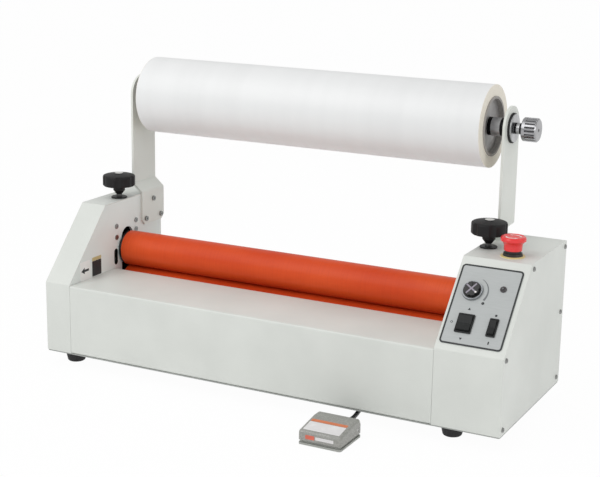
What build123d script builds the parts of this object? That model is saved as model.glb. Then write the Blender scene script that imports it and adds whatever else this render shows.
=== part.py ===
from build123d import *

import os
from math import acos, asin, atan2, cos, pi, radians, sin, sqrt, tan

# Roll laminator. Millimetres, +Z up, +X along the rollers towards the control panel, +Y to the back.
# The origin is on the floor under the middle of the machine and its foot pedal.

# Body
WIDTH = 820.0
DEPTH = 284.0
BODY_HEIGHT = 240.0
FOOT_HEIGHT = 24.0
LEFT_HOUSING = 49.0
RIGHT_HOUSING = 109.0
SLOPE_LOW = 122.5
SLOPE_RUN = 109.0
DECK_HEIGHT = 121.0
DECK_DEPTH = 137.0
DECK_LIP = 18.0
SHEET = 1.5
BEND = 3.0
BASE_THICKNESS = 2.0
SEAM = 0.4
FLANGE = 18.0
FRAME_THICKNESS = 6.0

# Rollers and nip
ROLLER_GAP = 6.0
ROLLER_RADIUS = 30.6
RUBBER = 6.0
TUBE_WALL = 5.0
ROLLER_SETBACK = 174.5
UPPER_HEIGHT = 151.5
NIP_GAP = 0.3
NIP_LIFT = 10.0
END_RING = 4.0
END_RING_RADIUS = 29.5
JOURNAL_RADIUS = 10.0
RUNNING = 0.03
SLIDING = 0.1

# Bearing blocks and their guide frames, measured outboard from the wall's inner face
BLOCK_IN = 7.0
BLOCK_OUT = 25.0
BLOCK_WIDTH = 48.0
BLOCK_HEIGHT = 50.0
BEARING_OUTER = 18.5
BEARING_LENGTH = 9.0
BEARING_GROOVE = 1.2
GUIDE_RAIL = 12.0
GUIDE_BRIDGE = 16.0
LIFT_ROOM = 3.5
JOURNAL_SLOT = 36.0
SLOT_TOP = 189.0

# Drive
MODULE = 2.0
GEAR_TEETH = 36
PINION_TEETH = 18
PRESSURE_ANGLE = 20.0
BACKLASH = 0.4
GEAR_IN = 30.0
GEAR_FACE = 12.0
MESH_ANGLE = 20.0
GEARBOX_IN = 45.0
GEARBOX_SIZE = (48.0, 56.0, 26.0)
MOTOR_RADIUS = 25.0
MOTOR_LENGTH = 82.0
PINION_SHAFT = 5.0

# Pressure knobs
SCREW_RADIUS = 5.0
SCREW_TIP = (4.0, 6.0)
KNOB_RADIUS = 28.5
KNOB_SIDE = 19.5
KNOB_DOME = 2.8
KNOB_SHOULDER = 3.0
KNOB_NECK = (10.4, 12.0)
KNOB_LOBES = 6
FLUTE_RADIUS = 10.0
FLUTE_DEPTH = 2.3
KNOB_RISE = 10.0
KNOB_CAP_RADIUS = 7.8
WASHER = (14.0, 2.5)

# Supply arms and film roll
ARM_WIDTH = 70.0
ARM_THICKNESS = 4.0
ARM_JOG = 18.0
ARM_FOOT = 57.0
ARM_JOG_START = 1.5
ARM_JOG_RISE = 15.5
SUPPLY_BEHIND = 78.9
SUPPLY_HEIGHT = 417.4
SUPPLY_SHAFT = 10.0
FILM_RADIUS = 66.5
FILM_MARGIN = 7.5
CORE_RADIUS = 48.0
CORE_BORE = 44.0
CORE_PROUD = 2.0
CHUCK_INSET = 8.0
CHUCK_PLUG = 24.0
CHUCK_RIM = 4.0
CHUCK_HUB = (14.5, 29.0)
BUSH_RADIUS = 14.0
PAD = (24.0, 3.0)
BRAKE_PLATE = (22.5, 2.0)
BRAKE_SLEEVE = (9.0, 14.0)
TENSION_KNOB = (19.0, 24.0)
TENSION_PLAIN = 6.0
TENSION_GROOVES = 20
ARM_SCREW_SPACING = 48.0
ARM_SCREW_LOW = 47.0
ARM_SCREW_HIGH = 13.6

# Control panel, placed on the slope: across from the housing's inner edge, up from the lower bend
PANEL_SIZE = (97.8, 135.1)
PANEL_CENTRE = (52.9, 78.6)
PANEL_THICKNESS = 1.0
PANEL_CORNER = 6.0
DIAL_AT = (31.7, 102.3)
LAMP_AT = (77.7, 111.6)
DIRECTION_AT = (35.3, 47.0)
MODE_AT = (78.6, 46.8)
DIRECTION_BEZEL = (25.5, 31.5)
MODE_BEZEL = (14.0, 30.0)
BEZEL_RIM = 2.0
BEZEL_LIP = 2.0
BEZEL_DEPTH = 18.0
ROCKER_GAP = 0.4
ROCKER_PIVOT_DEPTH = 1.0
DIAL_SKIRT = (16.5, 3.0)
DIAL_GRIP = (12.0, 8.0)
DIAL_FLUTES = 8
SPINDLE_RADIUS = 3.0
LAMP_RADIUS = 4.5

# Emergency stop, across from the housing's inner edge and back from its front
ESTOP_AT = (67.0, 142.0)
ESTOP_BASE = (15.5, 11.0)
ESTOP_RING = (19.0, 1.2)
ESTOP_COLLAR = 5.6
ESTOP_NECK = 12.6
ESTOP_WAIST = 13.9
ESTOP_HEAD = 19.7
ESTOP_HEIGHT = 31.5
ESTOP_TRAVEL = 4.0
ESTOP_PLUNGER = 5.0
ESTOP_BORE = 22.0
ESTOP_HOLE = 11.15
ESTOP_BODY = 40.0

# Fasteners
PAN_HEAD = (4.0, 2.2)
SCREW_SHANK = (2.0, 7.0)
SCREW_PLAY = 0.1
SOCKET_HEAD = (4.5, 3.0)
GUIDE_HEAD_PLAY = 0.4

# End panel screws, back from the front or in from the back, and up from the feet or down from a bend
SCREW_FRONT_LOW = (10.0, 11.0)
SCREW_FRONT_BEND = (10.0, 4.0)
SCREW_TOP = (9.0, 9.0)
SCREW_REAR = (14.0, 116.0)
SCREW_REAR_LOW = (15.0, 13.0)

# Guide screws ahead of and behind the rollers, down from the housing's top, and the tie bars
GUIDE_SCREW_FRONT = (33.5, 44.0, 64.0)
GUIDE_SCREW_REAR = (27.5, 44.5, 61.0)
TIE_RADIUS = 8.0
TIE_SETBACK = 34.0
TIE_HEIGHT = 60.0
TIE_LOW = 26.0

# Circuit board: in from the wall, in from the back, and the parts on it from its middle
BOARD_IN = 72.0
BOARD_BACK = 62.0
BOARD_UP = 95.0
BOARD_SIZE = (84.0, 80.0, 1.6)
BOARD_LEG = (10.0, 14.0, 2.0)
LEG_SPACING = 60.0
LEG_HEIGHT = 66.0
TRANSFORMER = (26.0, 20.0, 14.0)
TRANSFORMER_AT = (-22.0, 17.0)
RELAY = (30.0, 12.0, 14.0)
RELAY_AT = (20.0, -21.0)
CAPACITOR = (7.0, 20.0)
CAPACITORS_AT = ((20.0, 17.0), (-14.0, -17.0))

# Rear sockets, set back from the wall's inner face and up from the base's underside
INLET_AT = (76.0, 44.0)
INLET_FLANGE = (50.0, 28.0)
INLET_BODY = (28.0, 20.0)
INLET_CAVITY = (24.0, 16.0, 18.0)
SOCKET_AT = (30.0, 44.0)
SOCKET_FLANGE = 12.0
SOCKET_BARREL = 10.0
SOCKET_CAVITY = (8.0, 12.0)
SOCKET_PROUD = 3.0

# Foot pedal and its lead
PEDAL_SIZE = (70.5, 72.0, 30.0)
PEDAL_GAP = 36.4
PEDAL_INSET = 132.8
PEDAL_FRONT_HEIGHT = 22.0
PEDAL_BASE_HEIGHT = 11.0
PEDAL_WALL = 2.5
PEDAL_CLEAR = 1.0
PEDAL_CORNER = 4.0
PEDAL_SOLE = 3.0
PEDAL_HINGE = (11.0, 14.0)
PEDAL_PIN = 2.5
TREADLE_LOW = 7.0
TREADLE_RISE = 50.0
TREADLE_NOSE = 5.0
TREADLE_BEND = 5.0
CORD_RADIUS = 3.5
RELIEF_LENGTH = 10.0
RELIEF_RADII = (5.2, 4.4)
RELIEF_Z = 9.5
LEAD_SWAY = 15.0
COIL_RADIUS = 50.0
COIL_TURNS = 3
COIL_BEHIND = 66.0
COIL_EXIT = 16.0
PLUG_RADIUS = 11.0
PLUG_CLAMP = (5.5, 6.5, 12.0)
PLUG_SHELL = (8.5, 9.0, 20.0)
PLUG_RING = 14.0
PLUG_SLEEVE = (7.5, 1.2, 6.0)

# The pedal reaches forwards and the film roll backwards: the origin lies midway between their ends
PEDAL_REACH = PEDAL_GAP + PEDAL_SIZE[1]
SUPPLY_SETBACK = ROLLER_SETBACK + SUPPLY_BEHIND
REAR_REACH = SUPPLY_SETBACK + FILM_RADIUS - DEPTH
FRONT = (PEDAL_REACH - DEPTH - REAR_REACH) / 2
BACK = FRONT + DEPTH
LEFT = -WIDTH / 2
RIGHT = WIDTH / 2
WALL_L = LEFT + LEFT_HOUSING
WALL_R = RIGHT - RIGHT_HOUSING
SPAN = WALL_R - WALL_L
MIDDLE = (WALL_L + WALL_R) / 2
ROLLER_LENGTH = SPAN - 2 * ROLLER_GAP
FILM_LENGTH = ROLLER_LENGTH - 2 * FILM_MARGIN
COVER_LOW = FOOT_HEIGHT + BASE_THICKNESS
TOP = FOOT_HEIGHT + BODY_HEIGHT
DECK_TOP = FOOT_HEIGHT + DECK_HEIGHT

ROLLER_Y = FRONT + ROLLER_SETBACK
UPPER_Z = FOOT_HEIGHT + UPPER_HEIGHT
LOWER_Z = UPPER_Z - 2 * ROLLER_RADIUS - NIP_GAP
SUPPLY_Y = FRONT + SUPPLY_SETBACK
SUPPLY_Z = FOOT_HEIGHT + SUPPLY_HEIGHT
BLOCK_MID = (BLOCK_IN + BLOCK_OUT) / 2
GUIDE_LEDGE = LOWER_Z - BLOCK_HEIGHT / 2
GUIDE_ROOF = UPPER_Z + BLOCK_HEIGHT / 2 + NIP_LIFT + LIFT_ROOM
JOURNAL_REACH = BLOCK_OUT + 3
GUIDE_HEAD = ROLLER_GAP - END_RING - GUIDE_HEAD_PLAY

os.makedirs("parts", exist_ok=True)


def save(part, name):
    """Label a finished piece and write its file."""
    part.label = name
    export_step(part, f"parts/{name}.step")


def across(x):
    """Plane square to the rollers at x: its own x runs back, its own y runs up."""
    return Plane.YZ.offset(x)


def turning(y, z):
    """Plane for turned parts on an axis along X: its own x runs along the axis, its own y is the radius."""
    return Plane(origin=(0, y, z), x_dir=(1, 0, 0), z_dir=(0, -1, 0))


def along_x(y, z):
    """Axis along X through a point of the YZ plane."""
    return Axis((0, y, z), (1, 0, 0))


def upright(x, y, z=0):
    """Plane for turned parts on a vertical axis: its own x is the radius, its own y runs up."""
    return Plane(origin=(x, y, z), x_dir=(1, 0, 0), z_dir=(0, -1, 0))


def dome(radius, low, rise):
    """Start, middle and end of a dome's arc, from its rim in to its top on the axis."""
    ball = (radius**2 + rise**2) / (2 * rise)
    half = asin(radius / abs(ball)) / 2
    middle = (abs(ball) * sin(half), low + rise - ball + ball * cos(half))
    return (radius, low), middle, (0, low + rise)


def housing_outline(inset, low):
    """Side view of the housing, as the corners of its bent sheet."""
    slope = atan2(BODY_HEIGHT - SLOPE_LOW, SLOPE_RUN)
    bend_shift = inset * tan(slope / 2)
    top_shift = inset * tan((pi / 2 - slope) / 2)
    # the lower bend turns by 90 degrees less the slope, the upper one by the slope
    return [
        (FRONT + inset, low),
        (FRONT + inset, FOOT_HEIGHT + SLOPE_LOW - top_shift),
        (FRONT + SLOPE_RUN + bend_shift, TOP - inset),
        (BACK - inset, TOP - inset),
        (BACK - inset, low),
    ]


# The slope carries the control panel: its plane has x across the panel and y up the slope
SLOPE_ANGLE = atan2(BODY_HEIGHT - SLOPE_LOW, SLOPE_RUN)
SLOPE_UP = Vector(0, cos(SLOPE_ANGLE), sin(SLOPE_ANGLE))
SLOPE_OUT = Vector(0, -sin(SLOPE_ANGLE), cos(SLOPE_ANGLE))
SLOPE = Plane(origin=(WALL_R, FRONT, FOOT_HEIGHT + SLOPE_LOW), x_dir=(1, 0, 0), z_dir=SLOPE_OUT)
PANEL_FACE = SLOPE.offset(PANEL_THICKNESS)
ESTOP_X = WALL_R + ESTOP_AT[0]
ESTOP_Y = FRONT + ESTOP_AT[1]
PRESS_L = WALL_L - BLOCK_MID
PRESS_R = WALL_R + BLOCK_MID

# Base plate, with clearance holes for the foot bolts
FEET = [
    (x, y)
    for x in (WALL_L - 18, WALL_R + 20)
    for y in (FRONT + 40, BACK - 40)
]
FOOT_RADII = (19.0, 15.0)
FOOT_BOLT = 3.0

with BuildPart() as base_plate:
    with BuildSketch(Plane.XY.offset(FOOT_HEIGHT)):
        with Locations((0, (FRONT + BACK) / 2)):
            RectangleRounded(WIDTH - 2 * SEAM, DEPTH - 2 * SEAM, BEND)
        with Locations(*FEET):
            Circle(FOOT_BOLT + 0.2, mode=Mode.SUBTRACT)
    extrude(amount=BASE_THICKNESS)
save(base_plate.part, "base_plate")

# Rubber feet: tapered, with a rounded tread and a counterbore for the bolt
with BuildPart() as feet:
    for foot_x, foot_y in FEET:
        with BuildSketch(upright(foot_x, foot_y)) as foot_profile:
            with BuildLine():
                Polyline(
                    (FOOT_BOLT, FOOT_HEIGHT),
                    (FOOT_BOLT, FOOT_HEIGHT / 2),
                    (2 * FOOT_BOLT, FOOT_HEIGHT / 2),
                    (2 * FOOT_BOLT, 0),
                    (FOOT_RADII[1] - 3, 0),
                )
                ThreePointArc(
                    (FOOT_RADII[1] - 3, 0),
                    (FOOT_RADII[1] - 0.7, 1.0),
                    (FOOT_RADII[1] + 0.3, 3.2),
                )
                Polyline(
                    (FOOT_RADII[1] + 0.3, 3.2),
                    (FOOT_RADII[0], FOOT_HEIGHT - 5),
                    (FOOT_RADII[0], FOOT_HEIGHT),
                    (FOOT_BOLT, FOOT_HEIGHT),
                )
            make_face()
        revolve(axis=Axis((foot_x, foot_y, 0), (0, 0, 1)))
save(feet.part, "feet")

# Foot bolts: head in the counterbore, shank up through the base plate, nut on top
with BuildPart() as foot_bolts:
    for foot_x, foot_y in FEET:
        with BuildSketch(Plane.XY.offset(FOOT_HEIGHT / 2 - 4)):
            with Locations((foot_x, foot_y)):
                RegularPolygon(2 * FOOT_BOLT - 0.6, 6)
        extrude(amount=4)
        with BuildSketch(Plane.XY.offset(FOOT_HEIGHT / 2)):
            with Locations((foot_x, foot_y)):
                Circle(FOOT_BOLT - 0.1)
        extrude(amount=FOOT_HEIGHT / 2 + BASE_THICKNESS + 5)
        with BuildSketch(Plane.XY.offset(COVER_LOW)):
            with Locations((foot_x, foot_y)):
                RegularPolygon(2 * FOOT_BOLT, 6)
        extrude(amount=4)
save(foot_bolts.part, "foot_bolts")


def housing_face(inset, low):
    """Closed side outline of the housing, with its bends rounded."""
    with BuildSketch(Plane.XY, mode=Mode.PRIVATE) as face:
        with BuildLine():
            Polyline(*housing_outline(inset, low), close=True)
        make_face()
        bends = face.vertices().sort_by(Axis.Y)[2:]
        fillet(bends, radius=BEND - inset if inset < BEND else 0.5)
    return face.sketch


# End panels are held by six screws each, threaded into a flange folded along the cover's outer edge
END_SCREWS = [
    (FRONT + SCREW_FRONT_LOW[0], FOOT_HEIGHT + SCREW_FRONT_LOW[1]),
    (FRONT + SCREW_FRONT_BEND[0], FOOT_HEIGHT + SLOPE_LOW - SCREW_FRONT_BEND[1]),
    (FRONT + SLOPE_RUN + SCREW_TOP[0], TOP - SCREW_TOP[1]),
    (BACK - SCREW_TOP[0], TOP - SCREW_TOP[1]),
    (BACK - SCREW_REAR[0], TOP - SCREW_REAR[1]),
    (BACK - SCREW_REAR_LOW[0], FOOT_HEIGHT + SCREW_REAR_LOW[1]),
]


def end_flange(start):
    """Flange of a cover from start: a band inside the fold, with the end panel's screw holes."""
    with BuildPart() as flange:
        with BuildSketch(across(start)):
            add(housing_face(SHEET, COVER_LOW))
            add(housing_face(SHEET + FLANGE, COVER_LOW - SHEET), mode=Mode.SUBTRACT)
            with Locations(*END_SCREWS):
                Circle(SCREW_SHANK[0] + SCREW_PLAY, mode=Mode.SUBTRACT)
        extrude(amount=SHEET)
    return flange.part


# Left cover: one folded sheet over the front, slope, top and back, with its end flange
with BuildPart() as left_cover:
    with BuildSketch(across(LEFT + SHEET)):
        add(housing_face(0, COVER_LOW))
        add(housing_face(SHEET, COVER_LOW - SHEET), mode=Mode.SUBTRACT)
    extrude(amount=LEFT_HOUSING - SHEET)
    add(end_flange(LEFT + SHEET))
    with BuildSketch(Plane.XY.offset(TOP)):
        with Locations((PRESS_L, ROLLER_Y)):
            Circle(SCREW_RADIUS + 1)
    extrude(amount=-2 * SHEET, mode=Mode.SUBTRACT)
save(left_cover.part, "left_cover")

# Right cover: the same fold, wider, cut for the panel's controls and the rear sockets
with BuildPart() as right_cover:
    with BuildSketch(across(WALL_R)):
        add(housing_face(0, COVER_LOW))
        add(housing_face(SHEET, COVER_LOW - SHEET), mode=Mode.SUBTRACT)
    extrude(amount=RIGHT_HOUSING - SHEET)
    add(end_flange(RIGHT - 2 * SHEET))
    with BuildSketch(Plane.XY.offset(TOP)):
        with Locations((PRESS_R, ROLLER_Y)):
            Circle(SCREW_RADIUS + 1)
        with Locations((ESTOP_X, ESTOP_Y)):
            Circle(ESTOP_HOLE)
    extrude(amount=-2 * SHEET, mode=Mode.SUBTRACT)
    with BuildSketch(SLOPE):
        with Locations(DIAL_AT):
            Circle(SPINDLE_RADIUS + 1.5)
        with Locations(LAMP_AT):
            Circle(LAMP_RADIUS - 0.5)
        with Locations(DIRECTION_AT):
            Rectangle(DIRECTION_BEZEL[0] - BEZEL_LIP, DIRECTION_BEZEL[1] - BEZEL_LIP)
        with Locations(MODE_AT):
            Rectangle(MODE_BEZEL[0] - BEZEL_LIP, MODE_BEZEL[1] - BEZEL_LIP)
    extrude(amount=-3 * SHEET, mode=Mode.SUBTRACT)
    with BuildSketch(Plane.XZ.offset(-BACK)):
        with Locations((WALL_R + INLET_AT[0], FOOT_HEIGHT + INLET_AT[1])):
            Rectangle(*INLET_BODY)
        with Locations((WALL_R + SOCKET_AT[0], FOOT_HEIGHT + SOCKET_AT[1])):
            Circle(SOCKET_BARREL)
    extrude(amount=2 * SHEET, mode=Mode.SUBTRACT)
save(right_cover.part, "right_cover")


def end_panel(start):
    """Flat end plate of the housing from start, one sheet thick."""
    with BuildPart() as panel:
        with BuildSketch(across(start)):
            add(housing_face(0, COVER_LOW))
            with Locations(*END_SCREWS):
                Circle(SCREW_SHANK[0] + SCREW_PLAY, mode=Mode.SUBTRACT)
        extrude(amount=SHEET)
    return panel.part


save(end_panel(LEFT), "left_end_panel")
save(end_panel(RIGHT - SHEET), "right_end_panel")


def pan_screws(places, face_x, side):
    """Pan-head screws along X, heads outwards at face_x: domed head with a cross recess, plain shank."""
    with BuildPart() as screws:
        for place in places:
            head = Plane(origin=(face_x, *place), x_dir=(0, 1, 0), z_dir=(side, 0, 0))
            with BuildSketch(head):
                Circle(PAN_HEAD[0])
            extrude(amount=PAN_HEAD[1], taper=18)
            with BuildSketch(head.offset(PAN_HEAD[1])):
                Rectangle(3.6, 0.9)
                Rectangle(0.9, 3.6)
            extrude(amount=-1, mode=Mode.SUBTRACT)
            with BuildSketch(head):
                Circle(SCREW_SHANK[0])
            extrude(amount=-SCREW_SHANK[1])
    return screws.part


with BuildPart() as cover_screws:
    add(pan_screws(END_SCREWS, LEFT, -1))
    add(pan_screws(END_SCREWS, RIGHT, 1))
save(cover_screws.part, "cover_screws")

# Front cover: front panel, bend, infeed deck and a turned-down lip in front of the lower roller
with BuildPart() as front_cover:
    with BuildSketch(across(WALL_L + SEAM)):
        with BuildLine():
            FilletPolyline(
                (FRONT + DECK_LIP, COVER_LOW),
                (FRONT, COVER_LOW),
                (FRONT, DECK_TOP),
                (FRONT + DECK_DEPTH, DECK_TOP),
                (FRONT + DECK_DEPTH, DECK_TOP - DECK_LIP),
                radius=BEND,
            )
            offset(amount=SHEET, side=Side.RIGHT)
        make_face()
    extrude(amount=SPAN - 2 * SEAM)
save(front_cover.part, "front_cover")

# Rear cover: back panel and outfeed deck, as far behind the rollers as the infeed deck is before them
OUTFEED_LIP = ROLLER_Y + (ROLLER_SETBACK - DECK_DEPTH)
with BuildPart() as rear_cover:
    with BuildSketch(across(WALL_L + SEAM)):
        with BuildLine():
            FilletPolyline(
                (BACK - DECK_LIP, COVER_LOW),
                (BACK, COVER_LOW),
                (BACK, DECK_TOP),
                (OUTFEED_LIP, DECK_TOP),
                (OUTFEED_LIP, DECK_TOP - DECK_LIP),
                radius=BEND,
            )
            offset(amount=SHEET, side=Side.LEFT)
        make_face()
    extrude(amount=SPAN - 2 * SEAM)
save(rear_cover.part, "rear_cover")

# Side frames: thick plates with the journals' long slot, a small sight slot and tapped holes
GUIDE_HALF = BLOCK_WIDTH / 2 + SLIDING
GUIDE_SCREWS = [
    (ROLLER_Y - GUIDE_SCREW_FRONT[0], TOP - GUIDE_SCREW_FRONT[1]),
    (ROLLER_Y - GUIDE_SCREW_FRONT[0], TOP - GUIDE_SCREW_FRONT[2]),
    (ROLLER_Y + GUIDE_SCREW_REAR[0], TOP - GUIDE_SCREW_REAR[1]),
    (ROLLER_Y + GUIDE_SCREW_REAR[0], TOP - GUIDE_SCREW_REAR[2]),
]
ARM_SCREWS = [
    (SUPPLY_Y - ARM_SCREW_SPACING / 2, TOP - ARM_SCREW_LOW),
    (SUPPLY_Y + ARM_SCREW_SPACING / 2, TOP - ARM_SCREW_LOW),
    (SUPPLY_Y, TOP - ARM_SCREW_HIGH),
]
TIE_BARS = [
    (FRONT + TIE_SETBACK, FOOT_HEIGHT + TIE_HEIGHT),
    (BACK - TIE_SETBACK, FOOT_HEIGHT + TIE_HEIGHT),
    (ROLLER_Y, FOOT_HEIGHT + TIE_LOW),
]
SIGHT_SLOT = (FRONT + 138.6, FOOT_HEIGHT + 141.5)
SLOT_TOP_Z = FOOT_HEIGHT + SLOT_TOP
SLOT_LOW_Z = LOWER_Z - JOURNAL_SLOT / 2

with BuildPart() as side_frame_left:
    with BuildSketch(across(WALL_L - FRAME_THICKNESS)):
        add(housing_face(SHEET, COVER_LOW))
        with Locations((ROLLER_Y, (SLOT_TOP_Z + SLOT_LOW_Z) / 2)):
            SlotOverall(SLOT_TOP_Z - SLOT_LOW_Z, JOURNAL_SLOT, rotation=90, mode=Mode.SUBTRACT)
        with Locations(SIGHT_SLOT):
            SlotOverall(29, 11, rotation=90, mode=Mode.SUBTRACT)
        with Locations(*GUIDE_SCREWS, *ARM_SCREWS):
            Circle(SCREW_SHANK[0] + SCREW_PLAY, mode=Mode.SUBTRACT)
    extrude(amount=FRAME_THICKNESS)
save(side_frame_left.part, "side_frame_left")

with BuildPart() as side_frame_right:
    mirror(side_frame_left.part, about=Plane.YZ.offset(MIDDLE))
save(side_frame_right.part, "side_frame_right")

# Tie bars: round bars that hold the side frames apart
with BuildPart() as tie_bars:
    with BuildSketch(across(WALL_L)):
        with Locations(*TIE_BARS):
            Circle(TIE_RADIUS)
    extrude(amount=SPAN)
save(tie_bars.part, "tie_bars")


def roller_core(axis_z, right_reach):
    """Steel tube with welded end plugs, end rings and journals."""
    half = ROLLER_LENGTH / 2
    ring_end = half + END_RING
    left_end = MIDDLE - SPAN / 2 - JOURNAL_REACH
    right_end = MIDDLE + SPAN / 2 + right_reach
    tube = ROLLER_RADIUS - RUBBER
    journal = JOURNAL_RADIUS - RUNNING
    with BuildPart() as core:
        with BuildSketch(turning(ROLLER_Y, axis_z)):
            with BuildLine():
                Polyline(
                    (left_end, 0),
                    (left_end, journal),
                    (MIDDLE - ring_end, journal),
                    (MIDDLE - ring_end, END_RING_RADIUS),
                    (MIDDLE - half, END_RING_RADIUS),
                    (MIDDLE - half, tube),
                    (MIDDLE + half, tube),
                    (MIDDLE + half, END_RING_RADIUS),
                    (MIDDLE + ring_end, END_RING_RADIUS),
                    (MIDDLE + ring_end, journal),
                    (right_end, journal),
                    (right_end, 0),
                    close=True,
                )
            make_face()
        revolve(axis=along_x(ROLLER_Y, axis_z))
        with BuildSketch(turning(ROLLER_Y, axis_z)):
            with Locations((MIDDLE, (tube - TUBE_WALL) / 2)):
                Rectangle(ROLLER_LENGTH - 24, tube - TUBE_WALL)
        revolve(axis=along_x(ROLLER_Y, axis_z), mode=Mode.SUBTRACT)
    return core.part


def roller_rubber(axis_z):
    """Silicone cover of a roller."""
    with BuildPart() as rubber:
        with BuildSketch(across(MIDDLE - ROLLER_LENGTH / 2)):
            with Locations((ROLLER_Y, axis_z)):
                Circle(ROLLER_RADIUS)
                Circle(ROLLER_RADIUS - RUBBER, mode=Mode.SUBTRACT)
        extrude(amount=ROLLER_LENGTH)
        chamfer(rubber.edges().filter_by(GeomType.CIRCLE).sort_by(SortBy.RADIUS)[-2:], length=0.8)
    return rubber.part


save(roller_core(UPPER_Z, JOURNAL_REACH), "upper_roller_core")
save(roller_core(LOWER_Z, GEAR_IN + GEAR_FACE), "lower_roller_core")
save(roller_rubber(UPPER_Z), "upper_roller_rubber")
save(roller_rubber(LOWER_Z), "lower_roller_rubber")


def block_starts():
    """Where the left and right blocks start along X, both one block long."""
    return (WALL_L - BLOCK_OUT, WALL_R + BLOCK_IN)


# Bearing blocks: the lower pair is seated in the guides, the upper pair slides in them
with BuildPart() as lower_blocks:
    for start in block_starts():
        with BuildSketch(across(start)):
            with Locations((ROLLER_Y, LOWER_Z)):
                Rectangle(BLOCK_WIDTH, BLOCK_HEIGHT)
                Circle(BEARING_OUTER, mode=Mode.SUBTRACT)
        extrude(amount=BLOCK_OUT - BLOCK_IN)
save(lower_blocks.part, "lower_blocks")

with BuildPart() as upper_blocks:
    for start in block_starts():
        with BuildSketch(across(start)):
            with Locations((ROLLER_Y, UPPER_Z)):
                Rectangle(BLOCK_WIDTH, BLOCK_HEIGHT)
                Circle(BEARING_OUTER, mode=Mode.SUBTRACT)
        extrude(amount=BLOCK_OUT - BLOCK_IN)
    with BuildSketch(Plane.XY.offset(UPPER_Z + BLOCK_HEIGHT / 2)):
        with Locations((PRESS_L, ROLLER_Y), (PRESS_R, ROLLER_Y)):
            Circle(SCREW_TIP[0] + SLIDING / 2)
    extrude(amount=-SCREW_TIP[1] - 0.4, mode=Mode.SUBTRACT)
save(upper_blocks.part, "upper_blocks")


def bearings(axis_z):
    """Two ball bearings, one in each block: a ring with a seal groove in each face."""
    with BuildPart() as pair:
        for start in block_starts():
            middle = start + (BLOCK_OUT - BLOCK_IN) / 2
            with BuildSketch(across(middle - BEARING_LENGTH / 2)):
                with Locations((ROLLER_Y, axis_z)):
                    Circle(BEARING_OUTER)
                    Circle(JOURNAL_RADIUS, mode=Mode.SUBTRACT)
            extrude(amount=BEARING_LENGTH)
            for face in (-1, 1):
                with BuildSketch(across(middle + face * BEARING_LENGTH / 2)):
                    with Locations((ROLLER_Y, axis_z)):
                        Circle(BEARING_OUTER - 2)
                        Circle(JOURNAL_RADIUS + 2, mode=Mode.SUBTRACT)
                extrude(amount=-face * BEARING_GROOVE, mode=Mode.SUBTRACT)
    return pair.part


save(bearings(LOWER_Z), "lower_bearings")
save(bearings(UPPER_Z), "upper_bearings")

# Guide frames: a portal over each pair of blocks, its bridge tapped for the pressure screw
with BuildPart() as block_guides:
    for start in (WALL_L - BLOCK_OUT, WALL_R + FRAME_THICKNESS):
        with BuildSketch(across(start)):
            with Locations((ROLLER_Y, (COVER_LOW + GUIDE_ROOF + GUIDE_BRIDGE) / 2)):
                Rectangle(2 * (GUIDE_HALF + GUIDE_RAIL), GUIDE_ROOF + GUIDE_BRIDGE - COVER_LOW)
            with Locations((ROLLER_Y, (GUIDE_LEDGE + GUIDE_ROOF) / 2)):
                Rectangle(2 * GUIDE_HALF, GUIDE_ROOF - GUIDE_LEDGE, mode=Mode.SUBTRACT)
        extrude(amount=BLOCK_OUT - FRAME_THICKNESS)
    with BuildSketch(Plane.XY.offset(GUIDE_ROOF)):
        with Locations((PRESS_L, ROLLER_Y), (PRESS_R, ROLLER_Y)):
            Circle(SCREW_RADIUS + SLIDING / 2)
    extrude(amount=GUIDE_BRIDGE, mode=Mode.SUBTRACT)
save(block_guides.part, "block_guides")

# Screws that show on the walls: the arms' foot screws, and guide screws low enough for the rollers' ends
with BuildPart() as frame_screws:
    for wall, inward in ((WALL_L, 1), (WALL_R, -1)):
        guide_set = (GUIDE_SCREWS, wall, FRAME_THICKNESS - 0.5, GUIDE_HEAD)
        arm_set = (ARM_SCREWS, wall + inward * ARM_THICKNESS, ARM_THICKNESS + FRAME_THICKNESS - 2, SOCKET_HEAD[1])
        for places, face, shank, rise in (guide_set, arm_set):
            for place in places:
                head = Plane(origin=(face, *place), x_dir=(0, 1, 0), z_dir=(inward, 0, 0))
                with BuildSketch(head):
                    Circle(SOCKET_HEAD[0])
                extrude(amount=rise)
                with BuildSketch(head.offset(rise)):
                    RegularPolygon(2, 6)
                extrude(amount=-rise / 2, mode=Mode.SUBTRACT)
                with BuildSketch(head):
                    Circle(SCREW_SHANK[0])
                extrude(amount=-shank)
save(frame_screws.part, "frame_screws")


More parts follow.
